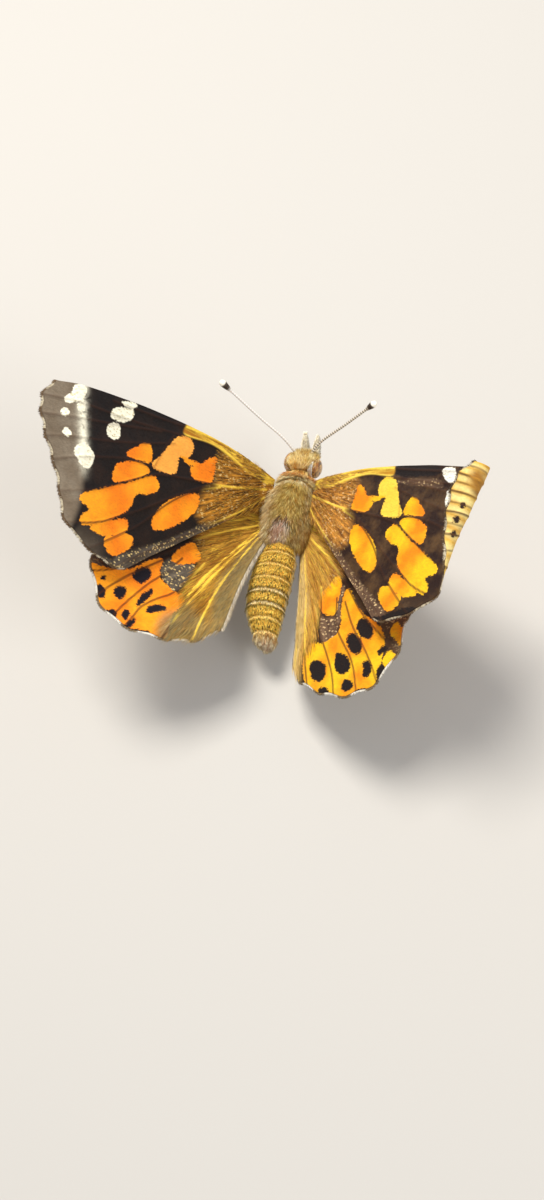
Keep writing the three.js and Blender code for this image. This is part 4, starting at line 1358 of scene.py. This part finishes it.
def body_uv(y, turn):
    share = np.arccos(np.clip(1 - 2 * (y - BODY[0, 0]) / (BODY[-1, 0] - BODY[0, 0]), -1, 1)) / np.pi
    return round_chart(turn_share(turn), share)


def body_coat(
        name, count, reach, turns, length, stand, width, forward=0.0, swirl=0.0, points=4, locks=0, streaks=0.0):
    """Hair over one stretch of the body. stand is its angle from the skin at the root and at the tip."""
    y = rng.uniform(*reach, count)
    turn = rng.uniform(*turns, count) * DEG
    root, out, back, right = body_frames(y, turn)
    lean = rng.normal(swirl, 0.22, count)[:, None] * np.sign(np.sin(turn))[:, None]
    lie = unit(back * (1 - 2 * forward) + right * lean)
    start, end = raised(lie, out, stand, 6)
    paths = bent_paths(root - out * 0.04, start, end, rng.uniform(*length, count), points)
    half = uneven(count, width, 0.75, 1.25)
    zones, shade = body_zones(y, turn), rng.random(count)
    if locks:
        paths, tone = gathered(paths, locks)
        shade = 0.35 * shade + 0.65 * tone
        zones["cream"] = np.maximum(zones["cream"], streaks * (tone > 0.62))
        zones["dark"] = np.maximum(zones["dark"], streaks * (tone < 0.2))
    return tuft_piece(
        name, paths, out, half, body_uv(y, turn), {"shade": shade, **zones}, COAT)


def all_body_coats():
    for side, turns in (("left", (-180, 0)), ("right", (0, 180))):
        body_coat(
            f"coat_thorax_{side}", 10900, (-1.1, 5.2), turns, (1.0, 1.7), (32, 3), 0.036,
            swirl=0.2, locks=900, streaks=0.15)
        outer = sorted(angle * SIDES[side] for angle in (50, 98))
        body_coat(
            f"coat_shoulder_{side}", 1900, (-0.4, 4.6), outer, (1.4, 2.3), (24, 18), 0.028, swirl=0.5, locks=160)
    body_coat("coat_neck", 1500, (4.5, 5.9), (35, 125), (0.9, 1.5), (66, 40), 0.026, swirl=0.3, locks=120)
    body_coat("coat_collar", 4600, (4.8, 6.15), ALL_ROUND, (0.8, 1.3), (70, 30), 0.03, locks=330, streaks=0.25)
    body_coat("coat_abdomen_front", 12400, (-6.4, -1.2), ALL_ROUND, (0.3, 0.48), (18, 2), 0.038, points=3)
    body_coat("coat_abdomen_rear", 10800, (-11.0, -6.4), ALL_ROUND, (0.3, 0.48), (18, 2), 0.038, points=3)
    body_coat("coat_tail", 2000, (-11.65, -10.5), ALL_ROUND, (0.45, 0.9), (24, 16), 0.03, locks=140, streaks=0.35)
    body_coat(
        "coat_crown", 3600, (6.0, 7.3), (-56, 56), (0.8, 1.35), (60, 20), 0.036,
        forward=0.85, locks=190, streaks=0.35)
    body_coat("coat_cheeks", 1600, (6.1, 7.4), (100, 260), (0.4, 0.7), (40, 14), 0.026, forward=0.2)
    body_coat(
        "coat_face", 3000, (7.1, 8.12), ALL_ROUND, (0.5, 1.0), (48, 20), 0.028,
        forward=1.0, locks=190, streaks=0.35)


# ---- hair and fringes of the wings ----
FORE_HAIR_TRIES = 3600
HIND_HAIR_TRIES = 8200
FRINGE_TUFTS = 3000
INNER_FRINGE_TUFTS = 1800
EYE_RIM_TUFTS = 900


def strand_material(name, dark, light, pale, deep):
    material, tree, shader = new_material(name)
    dark, light, pale, deep = (paint(*tone) for tone in (dark, light, pale, deep))
    shade = attribute(tree, "shade")
    colour = blend(tree, shade, dark, light)
    colour = blend(tree, attribute(tree, "pale"), colour, pale)
    colour = blend(tree, attribute(tree, "deep"), colour, deep)
    # Each strand is darker towards its root: painted shade inside the coat.
    colour = blend(tree, spread(tree, attribute(tree, "tip"), 0.0, 0.6, 0.35, 0.0), colour, deep)
    hair_surface(tree, shader, colour, shade)
    return material


def wing_tufts(name, kind, side, places, along, length, rise, width, fields, material, points=4, lift=0.05):
    """Tufts that leave the plan points of a wing along directions in the plan and rise a little above it."""
    shares = np.linspace(0, 1, points)[None, :]
    a = places[:, :1] + along[:, :1] * length[:, None] * shares
    b = places[:, 1:] + along[:, 1:] * length[:, None] * shares
    h = lift + ripple(places)[:, None] + (rise * length)[:, None] * shares * (1.3 - 0.6 * shares)
    paths = on_wing(kind, side, a, b, h)
    above = unit(on_wing(kind, side, places[:, 0], places[:, 1], h[:, 0] + 0.1) - paths[:, 0])
    uv = wing_chart(places[:, 0], places[:, 1], 0)
    return tuft_piece(name, paths, above, width, uv, fields, material)


def comb_angle(places):
    return np.arctan2(places[:, 1] - HAIR_FAN[1], places[:, 0] - HAIR_FAN[0])


def combed(places, spread_angle):
    """Directions away from the hinge, a little mixed."""
    angle = comb_angle(places) + rng.normal(0, spread_angle, len(places))
    return np.stack([np.cos(angle), np.sin(angle)], -1)


def streak_shade(places, mixing):
    """Shades that run in streaks out from the hinge, as hair lies in locks."""
    angle = comb_angle(places)
    waves = 0.5 + 0.3 * np.sin(angle * 47 + 2 * np.sin(angle * 19)) + 0.2 * np.sin(angle * 113 + places[:, 0] * 0.3)
    return (waves * (1 - mixing) + rng.random(len(places)) * mixing).clip(0, 1)


def hairy_places(kind, count, field, lanes, shares):
    """Random plan points of a wing, kept where a field of its markings is high."""
    lane = rng.uniform(*lanes, count)
    share = rng.uniform(*shares, count) ** 0.75
    places = plan_point(kind, lane, share)
    keep = field(places) > rng.random(count)
    return places[keep]


def fore_hair(side, material):
    def thick(places):
        marks = fore_upper(places, side)
        return np.maximum(0.8 * marks["gold"], marks["basal"] * 0.8) * (1 - smooth(places[:, 0], 5.5, 8.5))

    places = hairy_places("forewing", FORE_HAIR_TRIES, thick, (0, 9), (0.02, 0.4))
    gold = fore_upper(places, side)["gold"]
    count = len(places)
    near = 1 - smooth(places[:, 0], 1, 5)
    length = rng.uniform(0.35, 0.7, count) * (1 + 0.9 * near)
    fields = {
        "shade": streak_shade(places, 0.6), "pale": 0.3 * gold * rng.random(count),
        "deep": (rng.random(count) < 0.5 - 0.35 * gold) * 0.9}
    width = uneven(count, 0.018)
    rise = rng.uniform(0.04, 0.12, count) * (1 + 1.5 * near)
    wing_tufts(
        f"forewing_{side}_hair", "forewing", side, places, combed(places, 0.1), length, rise, width, fields,
        material)


def hind_hair(side, material):
    def thick(places):
        marks = hind_upper(places, side)
        return np.maximum(marks["gold"], 0.8 * marks["basal"] * (np.hypot(*places.T) < 8))

    places = hairy_places("hindwing", HIND_HAIR_TRIES, thick, (2.0, 8), (0.03, 0.95))
    count = len(places)
    silver = hind_upper(places, side)["silver"]
    length = rng.uniform(0.9, 1.9, count)
    fields = {
        "shade": streak_shade(places, 0.5), "pale": (silver * rng.uniform(0.4, 1.0, count)).clip(0, 1),
        "deep": (rng.random(count) < 0.2) * 0.7 * (1 - silver)}
    width = uneven(count, 0.02)
    rise = rng.uniform(0.02, 0.1, count)
    wing_tufts(
        f"hindwing_{side}_hair", "hindwing", side, places, combed(places, 0.05), length, rise, width, fields,
        material)


def fringe(kind, side, material, white):
    """Scales that stand out all along the margin, white between the veins and dark where a vein ends."""
    lanes, count = len(WINGS[kind]["plan"]) - 1, FRINGE_TUFTS
    lane = rng.uniform(0.0, lanes, count)
    share = np.full(count, MARGIN_SHARE) - rng.uniform(0, 0.008, count)
    places = plan_point(kind, lane, share)
    outwards = unit(plan_point(kind, lane, share + 0.01) - places)
    turned = rng.normal(0, 0.2, count)
    outwards = np.stack([
        outwards[:, 0] * np.cos(turned) - outwards[:, 1] * np.sin(turned),
        outwards[:, 0] * np.sin(turned) + outwards[:, 1] * np.cos(turned)], -1)
    middle = np.sin(np.pi * (lane - np.floor(lane))) ** 2
    length = rng.uniform(0.25, 0.42, count)
    shown = (rng.random(count) < smooth(middle, 0.3, 0.7) * white).astype(float)
    fields = {"pale": shown * rng.uniform(0.75, 1.0, count), "deep": (1 - shown) * rng.uniform(0.2, 0.9, count)}
    width = uneven(count, 0.03)
    wing_tufts(
        f"{kind}_{side}_fringe", kind, side, places, outwards, length, np.zeros(count), width, fields, material,
        points=3, lift=0.0)


def inner_fringe(side, material):
    """The long soft hairs of the hindwing's inner margin."""
    count = INNER_FRINGE_TUFTS
    share = rng.uniform(0.06, MARGIN_SHARE, count)
    lane = 8 - rng.uniform(0, 0.35, count) ** 2
    places = plan_point("hindwing", lane, share)
    ahead = unit(plan_point("hindwing", lane, share + 0.01) - places)
    aside = np.stack([ahead[:, 1], -ahead[:, 0]], -1)
    along = unit(ahead + aside * rng.uniform(0.15, 0.6, count)[:, None])
    length = rng.uniform(0.6, 1.2, count) * (1 - 0.45 * smooth(share, 0.85, 1.0))
    fields = {"pale": rng.uniform(0.1, 0.7, count), "deep": (rng.random(count) < 0.15) * 0.5}
    width = uneven(count, 0.024)
    wing_tufts(
        f"hindwing_{side}_inner_fringe", "hindwing", side, places, along, length, rng.uniform(0, 0.1, count), width,
        fields, material, lift=0.0)


# The hair of the two sides differs only by light: the left's darker, greyer tones are painted shade, and the right's
# brighter ones are painted light.
WING_HAIR = {
    "left": strand_material(
        "left wing hair", (166, 98, 22), (255, 202, 80), (164, 152, 108), (54, 28, 10)),
    "right": strand_material(
        "right wing hair", (208, 134, 42), (255, 214, 104), (248, 222, 150), (112, 62, 22)),
}
FRINGE = {
    "forewing": strand_material(
        "forewing fringe", (120, 92, 60), (160, 130, 90), (226, 214, 184), (44, 30, 22)),
    "hindwing": strand_material(
        "hindwing fringe", (156, 132, 92), (196, 172, 128), (250, 246, 232), (48, 34, 26)),
}


def skin_piece(material):
    mesh, turn, share = ball_mesh("body", 96, 190)
    y = body_y(share)
    set_places(mesh, body_point(y, turn))
    for zone, share_of_zone in body_zones(y, turn).items():
        write_attribute(mesh, zone, "FLOAT", share_of_zone)
    chart_by_share(mesh, turn, share)
    return finished_piece("body_skin", mesh, [material], ["head", "thorax", "abdomen"])


def passing(t, low, high, first, second):
    """The straight run that passes first at t = low and second at t = high."""
    return (high - t) / (high - low) * first + (t - low) / (high - low) * second


def path_through(points, count):
    """A smooth path through a few points, slower where they lie close together."""
    points = np.asarray(points, float)
    points = np.vstack([2 * points[0] - points[1], points, 2 * points[-1] - points[-2]])
    knots = np.concatenate([[0], np.cumsum(np.linalg.norm(np.diff(points, axis=0), axis=1) ** 0.5)])
    dense = []
    for low in range(1, len(points) - 2):
        p0, p1, p2, p3 = points[low - 1:low + 3]
        t0, t1, t2, t3 = knots[low - 1:low + 3]
        t = np.linspace(t1, t2, 40, endpoint=False)[:, None]
        a1, a2, a3 = passing(t, t0, t1, p0, p1), passing(t, t1, t2, p1, p2), passing(t, t2, t3, p2, p3)
        dense.append(passing(t, t1, t2, passing(t, t0, t2, a1, a2), passing(t, t1, t3, a2, a3)))
    dense = np.vstack(dense + [points[-2:-1]])
    run = np.concatenate([[0], np.cumsum(np.linalg.norm(np.diff(dense, axis=0), axis=1))])
    at = np.linspace(0, run[-1], count)
    return np.stack([np.interp(at, run, dense[:, axis]) for axis in range(3)], 1), at


def path_frames(path):
    """Along each point of a path: its direction and two directions across it that don't twist."""
    ahead = unit(np.gradient(path, axis=0))
    start = np.array([0.0, 0.0, 1.0]) if abs(ahead[0][2]) < 0.9 else np.array([1.0, 0.0, 0.0])
    side = unit(np.cross(start, ahead[0]))
    across = []
    for direction in ahead:
        side = unit(side - direction * np.dot(side, direction))
        across.append(side)
    across = np.array(across)
    return ahead, across, np.cross(ahead, across)


class Sleeve:
    """A round closed form along a path, whose radius changes with the share of its length."""

    def __init__(self, points, radius, count=400):
        self.path, self.run = path_through(points, count)
        self.ahead, self.across, self.up = path_frames(self.path)
        self.radius, self.shares = radius, np.linspace(0, 1, count)

    def read(self, rows, share):
        return np.stack([np.interp(share, self.shares, rows[:, axis]) for axis in range(3)], -1)

    def point(self, share, turn):
        return self.read(self.path, share) + self.outwards(share, turn) * self.radius(share)[:, None]

    def outwards(self, share, turn):
        across, up = self.read(self.across, share), self.read(self.up, share)
        return across * np.sin(turn)[:, None] + up * np.cos(turn)[:, None]

    def mesh(self, name, sides, rings):
        mesh, turn, share = ball_mesh(name, sides, rings)
        ends = np.sin(np.pi * share) > 1e-6
        points = self.read(self.path, share)
        set_places(mesh, np.where(ends[:, None], self.point(share, turn), points))
        write_attribute(mesh, "along", "FLOAT", share * self.run[-1])
        write_attribute(mesh, "reach", "FLOAT", share)
        write_attribute(mesh, "round", "FLOAT", np.cos(turn))
        chart_by_share(mesh, turn, share)
        return mesh


def steps(*pairs):
    """A radius that runs smoothly through pairs of share and value."""
    table = np.array(pairs, float)
    return lambda share: between(table, np.asarray(share))[:, 0]


# ---- feelers, palps and tongue ----
ANTENNA_ROOT = {"left": (-0.75, 0.72, 0.9), "right": (0.48, 0.78, 0.88)}
ANTENNA_PATH = {
    "left": ([-1.58, 0.85, 1.5], [-3.8, 1.7, 3.1], [-8.03, 3.25, 6.75]),
    "right": ([0.75, 0.85, 1.15], [3.4, 1.9, 4.1], [6.0, 2.9, 7.1]),
}
PALP_PATH = [(0.4, 0.7, -0.75), (0.55, 1.75, -0.35), (0.68, 2.95, 1.45)]
TONGUE_AT = (1.0, -1.2)
TONGUE_TURNS = 2.3
RING_LENGTH = 0.28


def feeler_sleeve(side):
    root = on_head(ANTENNA_ROOT[side])
    radius = steps(
        (0, 0.22), (0.03, 0.14), (0.3, 0.12), (0.84, 0.125), (0.91, 0.27), (0.96, 0.34), (0.985, 0.27), (1, 0.1))
    return Sleeve([root, *(root + np.array(step) for step in ANTENNA_PATH[side])], radius)


def palp_sleeve(side):
    radius = steps((0, 0.34), (0.3, 0.38), (0.6, 0.3), (0.85, 0.14), (1, 0.04))
    return Sleeve(on_head(mirrored(PALP_PATH, side)), radius)


def tongue_sleeve():
    turns = np.linspace(0, TONGUE_TURNS * 2 * np.pi, 40)
    coil = 0.5 - 0.16 * turns / (2 * np.pi)
    ahead, up = TONGUE_AT
    points = np.stack([np.zeros(40), ahead + coil * np.sin(turns), up + coil * np.cos(turns)], -1)
    return Sleeve(on_head(points[::-1]), steps((0, 0.05), (0.3, 0.09), (1, 0.1)), count=600)


# ---- legs ----
LEG_PATH = {
    "foreleg": [(0.7, 4.3, 4.2), (0.95, 5.3, 2.9), (0.9, 6.5, 3.1), (0.75, 6.9, 4.15)],
    "midleg": [(0.8, 2.2, 3.5), (4.0, 3.4, 4.1), (6.0, 4.9, 0.5), (8.15, 6.95, 0.13)],
    "hindleg": [(0.8, 0.1, 3.2), (3.4, -1.6, 2.6), (5.7, -6.0, 0.5), (7.15, -8.75, 0.13)],
}
LEG_RADIUS = {
    "foreleg": steps((0, 0.36), (0.3, 0.3), (0.36, 0.22), (0.66, 0.2), (0.72, 0.15), (1, 0.1)),
    "midleg": steps((0, 0.42), (0.34, 0.27), (0.4, 0.19), (0.68, 0.16), (0.74, 0.12), (1, 0.1)),
    "hindleg": steps((0, 0.42), (0.22, 0.3), (0.3, 0.19), (0.64, 0.16), (0.72, 0.12), (1, 0.1)),
}


def leg_sleeve(leg, side):
    return Sleeve(mirrored(LEG_PATH[leg], side), LEG_RADIUS[leg])


def eye_piece(side, material):
    """The eye's own ball, turned with the head."""
    mesh, turn, share = ball_mesh("eye", 64, 48)
    around = np.sin(np.pi * share)
    unit_ball = np.stack([around * np.sin(turn), around * np.cos(turn), -np.cos(np.pi * share)], -1)
    set_places(mesh, on_head(unit_ball * EYE_SIZE + mirrored([EYE_AT], side)))
    write_attribute(mesh, "ball", "FLOAT_VECTOR", unit_ball * (SIDES[side], 1, 1))
    return finished_piece(f"{side}_eye_ball", mesh, [material], [f"eye_{side}"])


LOWEST_HAIR = 0.04


def sleeve_coat(name, sleeve, count, reach, turns, length, stand, width, fields, material):
    """Hair or scales along a sleeve, lying towards its tip."""
    share = rng.uniform(*reach, count)
    turn = rng.uniform(*turns, count) * DEG
    root = sleeve.point(share, turn)
    out, ahead = unit(sleeve.outwards(share, turn)), sleeve.read(sleeve.ahead, share)
    lean = np.cross(out, ahead) * rng.normal(0, 0.2, count)[:, None]
    start, end = raised(ahead + lean, out, stand, 7)
    paths = bent_paths(root - out * 0.03, start, end, rng.uniform(*length, count), 3)
    paths[..., 2] = np.maximum(paths[..., 2], LOWEST_HAIR)
    half = uneven(count, width, 0.75, 1.25)
    uv = round_chart(turn_share(turn), share)
    given = {name: np.broadcast_to(rule(share, turn, rng.random(count)), count) for name, rule in fields.items()}
    return tuft_piece(name, paths, out, half, uv, given, material)


def eye_rim(side, material):
    """The crescent of white scales behind and inside each eye."""
    count = EYE_RIM_TUFTS
    angle = rng.uniform(-5, 135, count) * DEG
    depth = rng.uniform(-0.1, 0.45, count) * (0.3 + 0.7 * bump_between(angle / DEG, 20, 110, 25))
    around = np.sqrt(1 - depth**2)
    ball = np.stack([-depth * SIDES[side], -around * np.sin(angle), around * np.cos(angle)], -1)
    root = ball * EYE_SIZE * 1.06 + mirrored([EYE_AT], side)
    out = unit(ball / EYE_SIZE)
    along = unit(np.stack([np.zeros(count), -np.cos(angle), -np.sin(angle)], -1))
    length = rng.uniform(0.22, 0.36, count)
    paths = bent_paths(root, unit(along + out * 0.6), unit(along + out * 0.1), length, 3)
    fields = {"shade": rng.random(count), "pale": np.full(count, 0.95), "deep": np.zeros(count)}
    turned = on_head(out) - on_head(np.zeros(3))
    uv = np.stack([0.1 + 0.8 * angle / 4, 0.1 + 0.8 * depth], -1)
    width = uneven(count, 0.045)
    return tuft_piece(f"{side}_eye_rim", on_head(paths), turned, width, uv, fields, material)


def eye_material():
    """A faceted eye: small six-sided lenses, brown above and paler below, with darker patches."""
    material, tree, shader = new_material("faceted eye")
    place = attribute(tree, "ball", "Vector")
    facets = add(
        tree, "ShaderNodeTexVoronoi", {"feature": "DISTANCE_TO_EDGE", "voronoi_dimensions": "3D"},
        Vector=place, Scale=26.0, Randomness=0.25)
    height = add(tree, "ShaderNodeSeparateXYZ", Vector=place).outputs["Z"]
    colour = blend(tree, spread(tree, height, -0.5, 0.7), paint(206, 170, 110), paint(176, 112, 44))
    streaks = noise(tree, stretched(tree, place, (4.6, 1.5, 1.8)), 1.0, 2.0, 0.6)
    colour = blend(tree, spread(tree, streaks, 0.5, 0.6, 0.0, 0.9), colour, paint(46, 28, 14))
    glints = spread(tree, noise(tree, place, 2.4, 2.0), 0.54, 0.66, 0.0, 0.8)
    colour = blend(tree, glints, colour, paint(250, 196, 96))
    # Darker on the eye's inner side, where it meets the head: painted shade.
    edge = add(tree, "ShaderNodeSeparateXYZ", Vector=place).outputs["X"]
    colour = blend(tree, spread(tree, edge, 0.1, -0.2, 0.0, 0.8), colour, paint(60, 36, 18))
    edges = facets.outputs["Distance"]
    colour = blend(tree, spread(tree, edges, 0.0, 0.12, 0.5, 0.0), colour, paint(60, 36, 20))
    finish_surface(tree, shader, colour, spread(tree, edges, 0.0, 0.25), 0.3, 0.5, 0.00002)
    shader.inputs["Coat Weight"].default_value = 0.6
    shader.inputs["Coat Roughness"].default_value = 0.12
    return material


def feeler_material(name, light, dark, darkness):
    """Rings of scales along the shaft, a dark club and a pale tip."""
    material, tree, shader = new_material(name)
    along = attribute(tree, "along")
    reach = attribute(tree, "reach")
    ring = sums(tree, "FRACT", sums(tree, "DIVIDE", along, RING_LENGTH))
    dark_ring = sums(tree, "MULTIPLY", spread(tree, ring, 0.42, 0.55), spread(tree, ring, 0.9, 1.0, 1.0, 0.0))
    grain = noise(tree, add(tree, "ShaderNodeTexCoord").outputs["Object"], 22000.0, 2.0)
    light, dark = paint(*light), paint(*dark)
    shaft = blend(tree, spread(tree, grain, 0.3, 0.7, 0.0, 0.4), light, dark)
    rings = sums(tree, "MULTIPLY", dark_ring, darkness)
    colour = blend(tree, rings, shaft, dark)
    club = blend(tree, spread(tree, ring, 0.7, 0.95, 0.0, 0.5), paint(36, 24, 18), paint(130, 96, 60))
    colour = blend(tree, spread(tree, reach, 0.875, 0.905), colour, club)
    colour = blend(tree, spread(tree, reach, 0.95, 0.965), colour, paint(255, 248, 230))
    bump = sums(tree, "ADD", sums(tree, "MULTIPLY", dark_ring, -0.6), grain)
    finish_surface(tree, shader, colour, bump, 0.55, 0.25, 0.00002)
    return material


def limb_material(name, light, dark, deep):
    """Small overlapping scales along a leg or palp, darker on top and in patches."""
    material, tree, shader = new_material(name)
    place = add(tree, "ShaderNodeTexCoord").outputs["Object"]
    rows = use_group(tree, SCALE_ROWS, Place=stretched(tree, place, (1000, 1000, 1000)), Scales_per_mm=9.0)
    patchy = noise(tree, place, 1400.0, 2.0)
    light, dark, deep = paint(*light), paint(*dark), paint(*deep)
    colour = blend(tree, spread(tree, rows["Shade"], 0.1, 0.9), dark, light)
    colour = blend(tree, spread(tree, patchy, 0.5, 0.7, 0.0, 0.5), colour, deep)
    colour = blend(tree, spread(tree, attribute(tree, "round"), 0.2, 1.0, 0.0, 0.35), colour, deep)
    finish_surface(tree, shader, colour, rows["Height"], 0.6, 0.5, 0.00004)
    return material


# ---- claws and spines ----
def claw_piece(leg, side, sleeve, material):
    """Two curved claws at the end of a walking leg."""
    end, ahead = sleeve.path[-1], unit(sleeve.ahead[-1] * (1, 1, 0))
    across = unit(np.cross(ahead, (0, 0, 1.0)))
    for place, way in (("inner", -1), ("outer", 1)):
        foot = end + across * way * 0.05
        points = [
            foot, foot + ahead * 0.1 + across * way * 0.07 + (0, 0, 0.05),
            foot + ahead * 0.22 + across * way * 0.09 + (0, 0, -0.06)]
        claw = Sleeve(points, steps((0, 0.045), (0.6, 0.032), (1, 0.008)), count=40)
        finished_piece(f"{leg}_{side}_{place}_claw", claw.mesh("claw", 8, 12), [material])


def by_chance(share, turn, chance):
    return chance


# Rules that give each hair its shade and its shares of the pale and the deep tone.
LEG_HAIR_RULES = {
    "shade": by_chance,
    "pale": lambda share, turn, chance: 0.5 * (np.cos(turn) < 0),
    "deep": lambda share, turn, chance: 0.5 * (chance > 0.8),
}
SPINE_RULES = {
    "shade": by_chance, "pale": lambda share, turn, chance: 0.0, "deep": lambda share, turn, chance: 0.6}
PALP_HAIR_RULES = {
    "shade": by_chance,
    "pale": lambda share, turn, chance: 0.6 * (np.cos(turn) < 0.2),
    "deep": lambda share, turn, chance: 0.7 * (chance < 0.08),
}


def leg_details(leg, side, sleeve, scales, horn):
    """Hair all over a foreleg; hair on the thigh, spines and claws on a walking leg."""
    name = f"{leg}_{side}_scales"
    if leg == "foreleg":
        sleeve_coat(
            name, sleeve, 1500, (0.0, 0.99), ALL_ROUND, (0.3, 0.6), (48, 24), 0.024, LEG_HAIR_RULES, scales)
        return
    sleeve_coat(
        name, sleeve, 700, (0.0, 0.4), ALL_ROUND, (0.22, 0.4), (34, 12), 0.024, LEG_HAIR_RULES, scales)
    sleeve_coat(
        f"{leg}_{side}_spines", sleeve, 70, (0.42, 0.95), (90, 270), (0.14, 0.26), (42, 30), 0.016,
        SPINE_RULES, horn)
    claw_piece(leg, side, sleeve, horn)


EYE = eye_material()
# The left feeler is painted as lit: near white with faint rings, where the right one shows the dark rings that both
# have.
FEELERS = {
    "left": feeler_material("left feeler", (255, 253, 248), (176, 156, 130), 0.3),
    "right": feeler_material("right feeler", (255, 244, 220), (64, 46, 34), 0.85),
}
PALP_SKIN = limb_material("palp skin", (224, 208, 176), (170, 148, 116), (128, 96, 60))
LEG_SKIN = limb_material("leg scales", (226, 196, 146), (168, 126, 78), (110, 76, 44))
TONGUE = limb_material("coiled tongue", (150, 100, 56), (96, 60, 34), (54, 34, 22))
HORN = limb_material("dark horn", (84, 56, 34), (48, 32, 22), (26, 18, 14))
PALE_SCALES = strand_material(
    "pale face scales", (214, 190, 148), (255, 244, 216), (255, 252, 244), (120, 84, 48))
PALP_HAIR = strand_material(
    "palp hair", (238, 222, 184), (255, 252, 236), (255, 254, 248), (150, 112, 70))
LEG_HAIR = strand_material(
    "leg hair", (168, 124, 74), (244, 218, 168), (252, 240, 214), (104, 70, 40))

skin_piece(SKIN)
all_body_coats()
for side in SIDES:
    fore_hair(side, WING_HAIR[side])
    hind_hair(side, WING_HAIR[side])
    fringe("forewing", side, FRINGE["forewing"], 0.7)
    fringe("hindwing", side, FRINGE["hindwing"], 0.9)
    inner_fringe(side, FRINGE["hindwing"])
    eye_piece(side, EYE)
    eye_rim(side, PALE_SCALES)
    antenna = feeler_sleeve(side).mesh("antenna", 20, 220)
    finished_piece(f"antenna_{side}_core", antenna, [FEELERS[side]], [f"antenna_{side}"])
    palp = palp_sleeve(side)
    finished_piece(f"palp_{side}_core", palp.mesh("palp", 24, 48), [PALP_SKIN], [f"palp_{side}"])
    sleeve_coat(
        f"palp_{side}_hair", palp, 1500, (0.05, 0.97), ALL_ROUND, (0.26, 0.46), (30, 14), 0.024,
        PALP_HAIR_RULES, PALP_HAIR)
    for leg in LEG_PATH:
        limb = leg_sleeve(leg, side)
        finished_piece(f"{leg}_{side}_limb", limb.mesh(leg, 16, 160), [LEG_SKIN], [f"{leg}_{side}"])
        leg_details(leg, side, limb, LEG_HAIR, HORN)
finished_piece("tongue_coil", tongue_sleeve().mesh("tongue", 14, 160), [TONGUE], ["proboscis"])


# ---- floor, light and camera ----
def floor_piece():
    bm = bmesh.new()
    bmesh.ops.create_grid(bm, x_segments=1, y_segments=1, size=1.5)
    floor = linked("floor", mesh_of(bm, "floor"))
    material, tree, shader = new_material("pale floor")
    feed(tree, shader.inputs["Base Color"], paint(200, 196, 189))
    feed(tree, shader.inputs["Roughness"], 0.9)
    floor.data.materials.append(material)


def set_up(thing, place, back):
    """Puts a lamp or the camera at a place, looking against back."""
    thing.location = place
    thing.rotation_mode = "QUATERNION"
    thing.rotation_quaternion = (-back).to_track_quat("-Z", "Y")


def soft_light(name, place, size, power, colour=(1.0, 1.0, 1.0)):
    data = bpy.data.lights.new(name, "AREA")
    data.size, data.energy, data.color = size, power, colour
    set_up(linked(name, data), place, Vector(place))


def studio():
    scene = bpy.context.scene
    scene.view_settings.view_transform = "Standard"
    world = bpy.data.worlds.new("studio")
    world.use_nodes = True
    sky = world.node_tree.nodes["Background"].inputs
    sky["Color"].default_value, sky["Strength"].default_value = (0.92, 0.94, 1.0, 1.0), 0.42
    scene.world = world
    soft_light("key light", (-0.1, 0.11, 0.3), 0.12, 1.2, (1.0, 0.97, 0.92))
    soft_light("fill light", (0.24, -0.12, 0.2), 0.2, 0.48)


CAMERA_AZIMUTH = 8.14 * DEG
CAMERA_ELEVATION = 64 * DEG
CAMERA_REACH = 249.05
CAMERA_TARGET = (0.03, -7.78, 6.0)
CAMERA_HALF_VIEW = 13 * DEG


def photo_camera():
    data = bpy.data.cameras.new("camera")
    data.sensor_width = 36
    data.lens = data.sensor_width / 2 / math.tan(CAMERA_HALF_VIEW)
    data.clip_start, data.clip_end = 0.01, 10
    camera = linked("camera", data)
    back = Vector((
        math.sin(CAMERA_AZIMUTH) * math.cos(CAMERA_ELEVATION),
        -math.cos(CAMERA_AZIMUTH) * math.cos(CAMERA_ELEVATION),
        math.sin(CAMERA_ELEVATION),
    ))
    set_up(camera, Vector(in_frame(CAMERA_TARGET)) + back * CAMERA_REACH * MM, back)
    bpy.context.scene.camera = camera


floor_piece()
studio()
photo_camera()
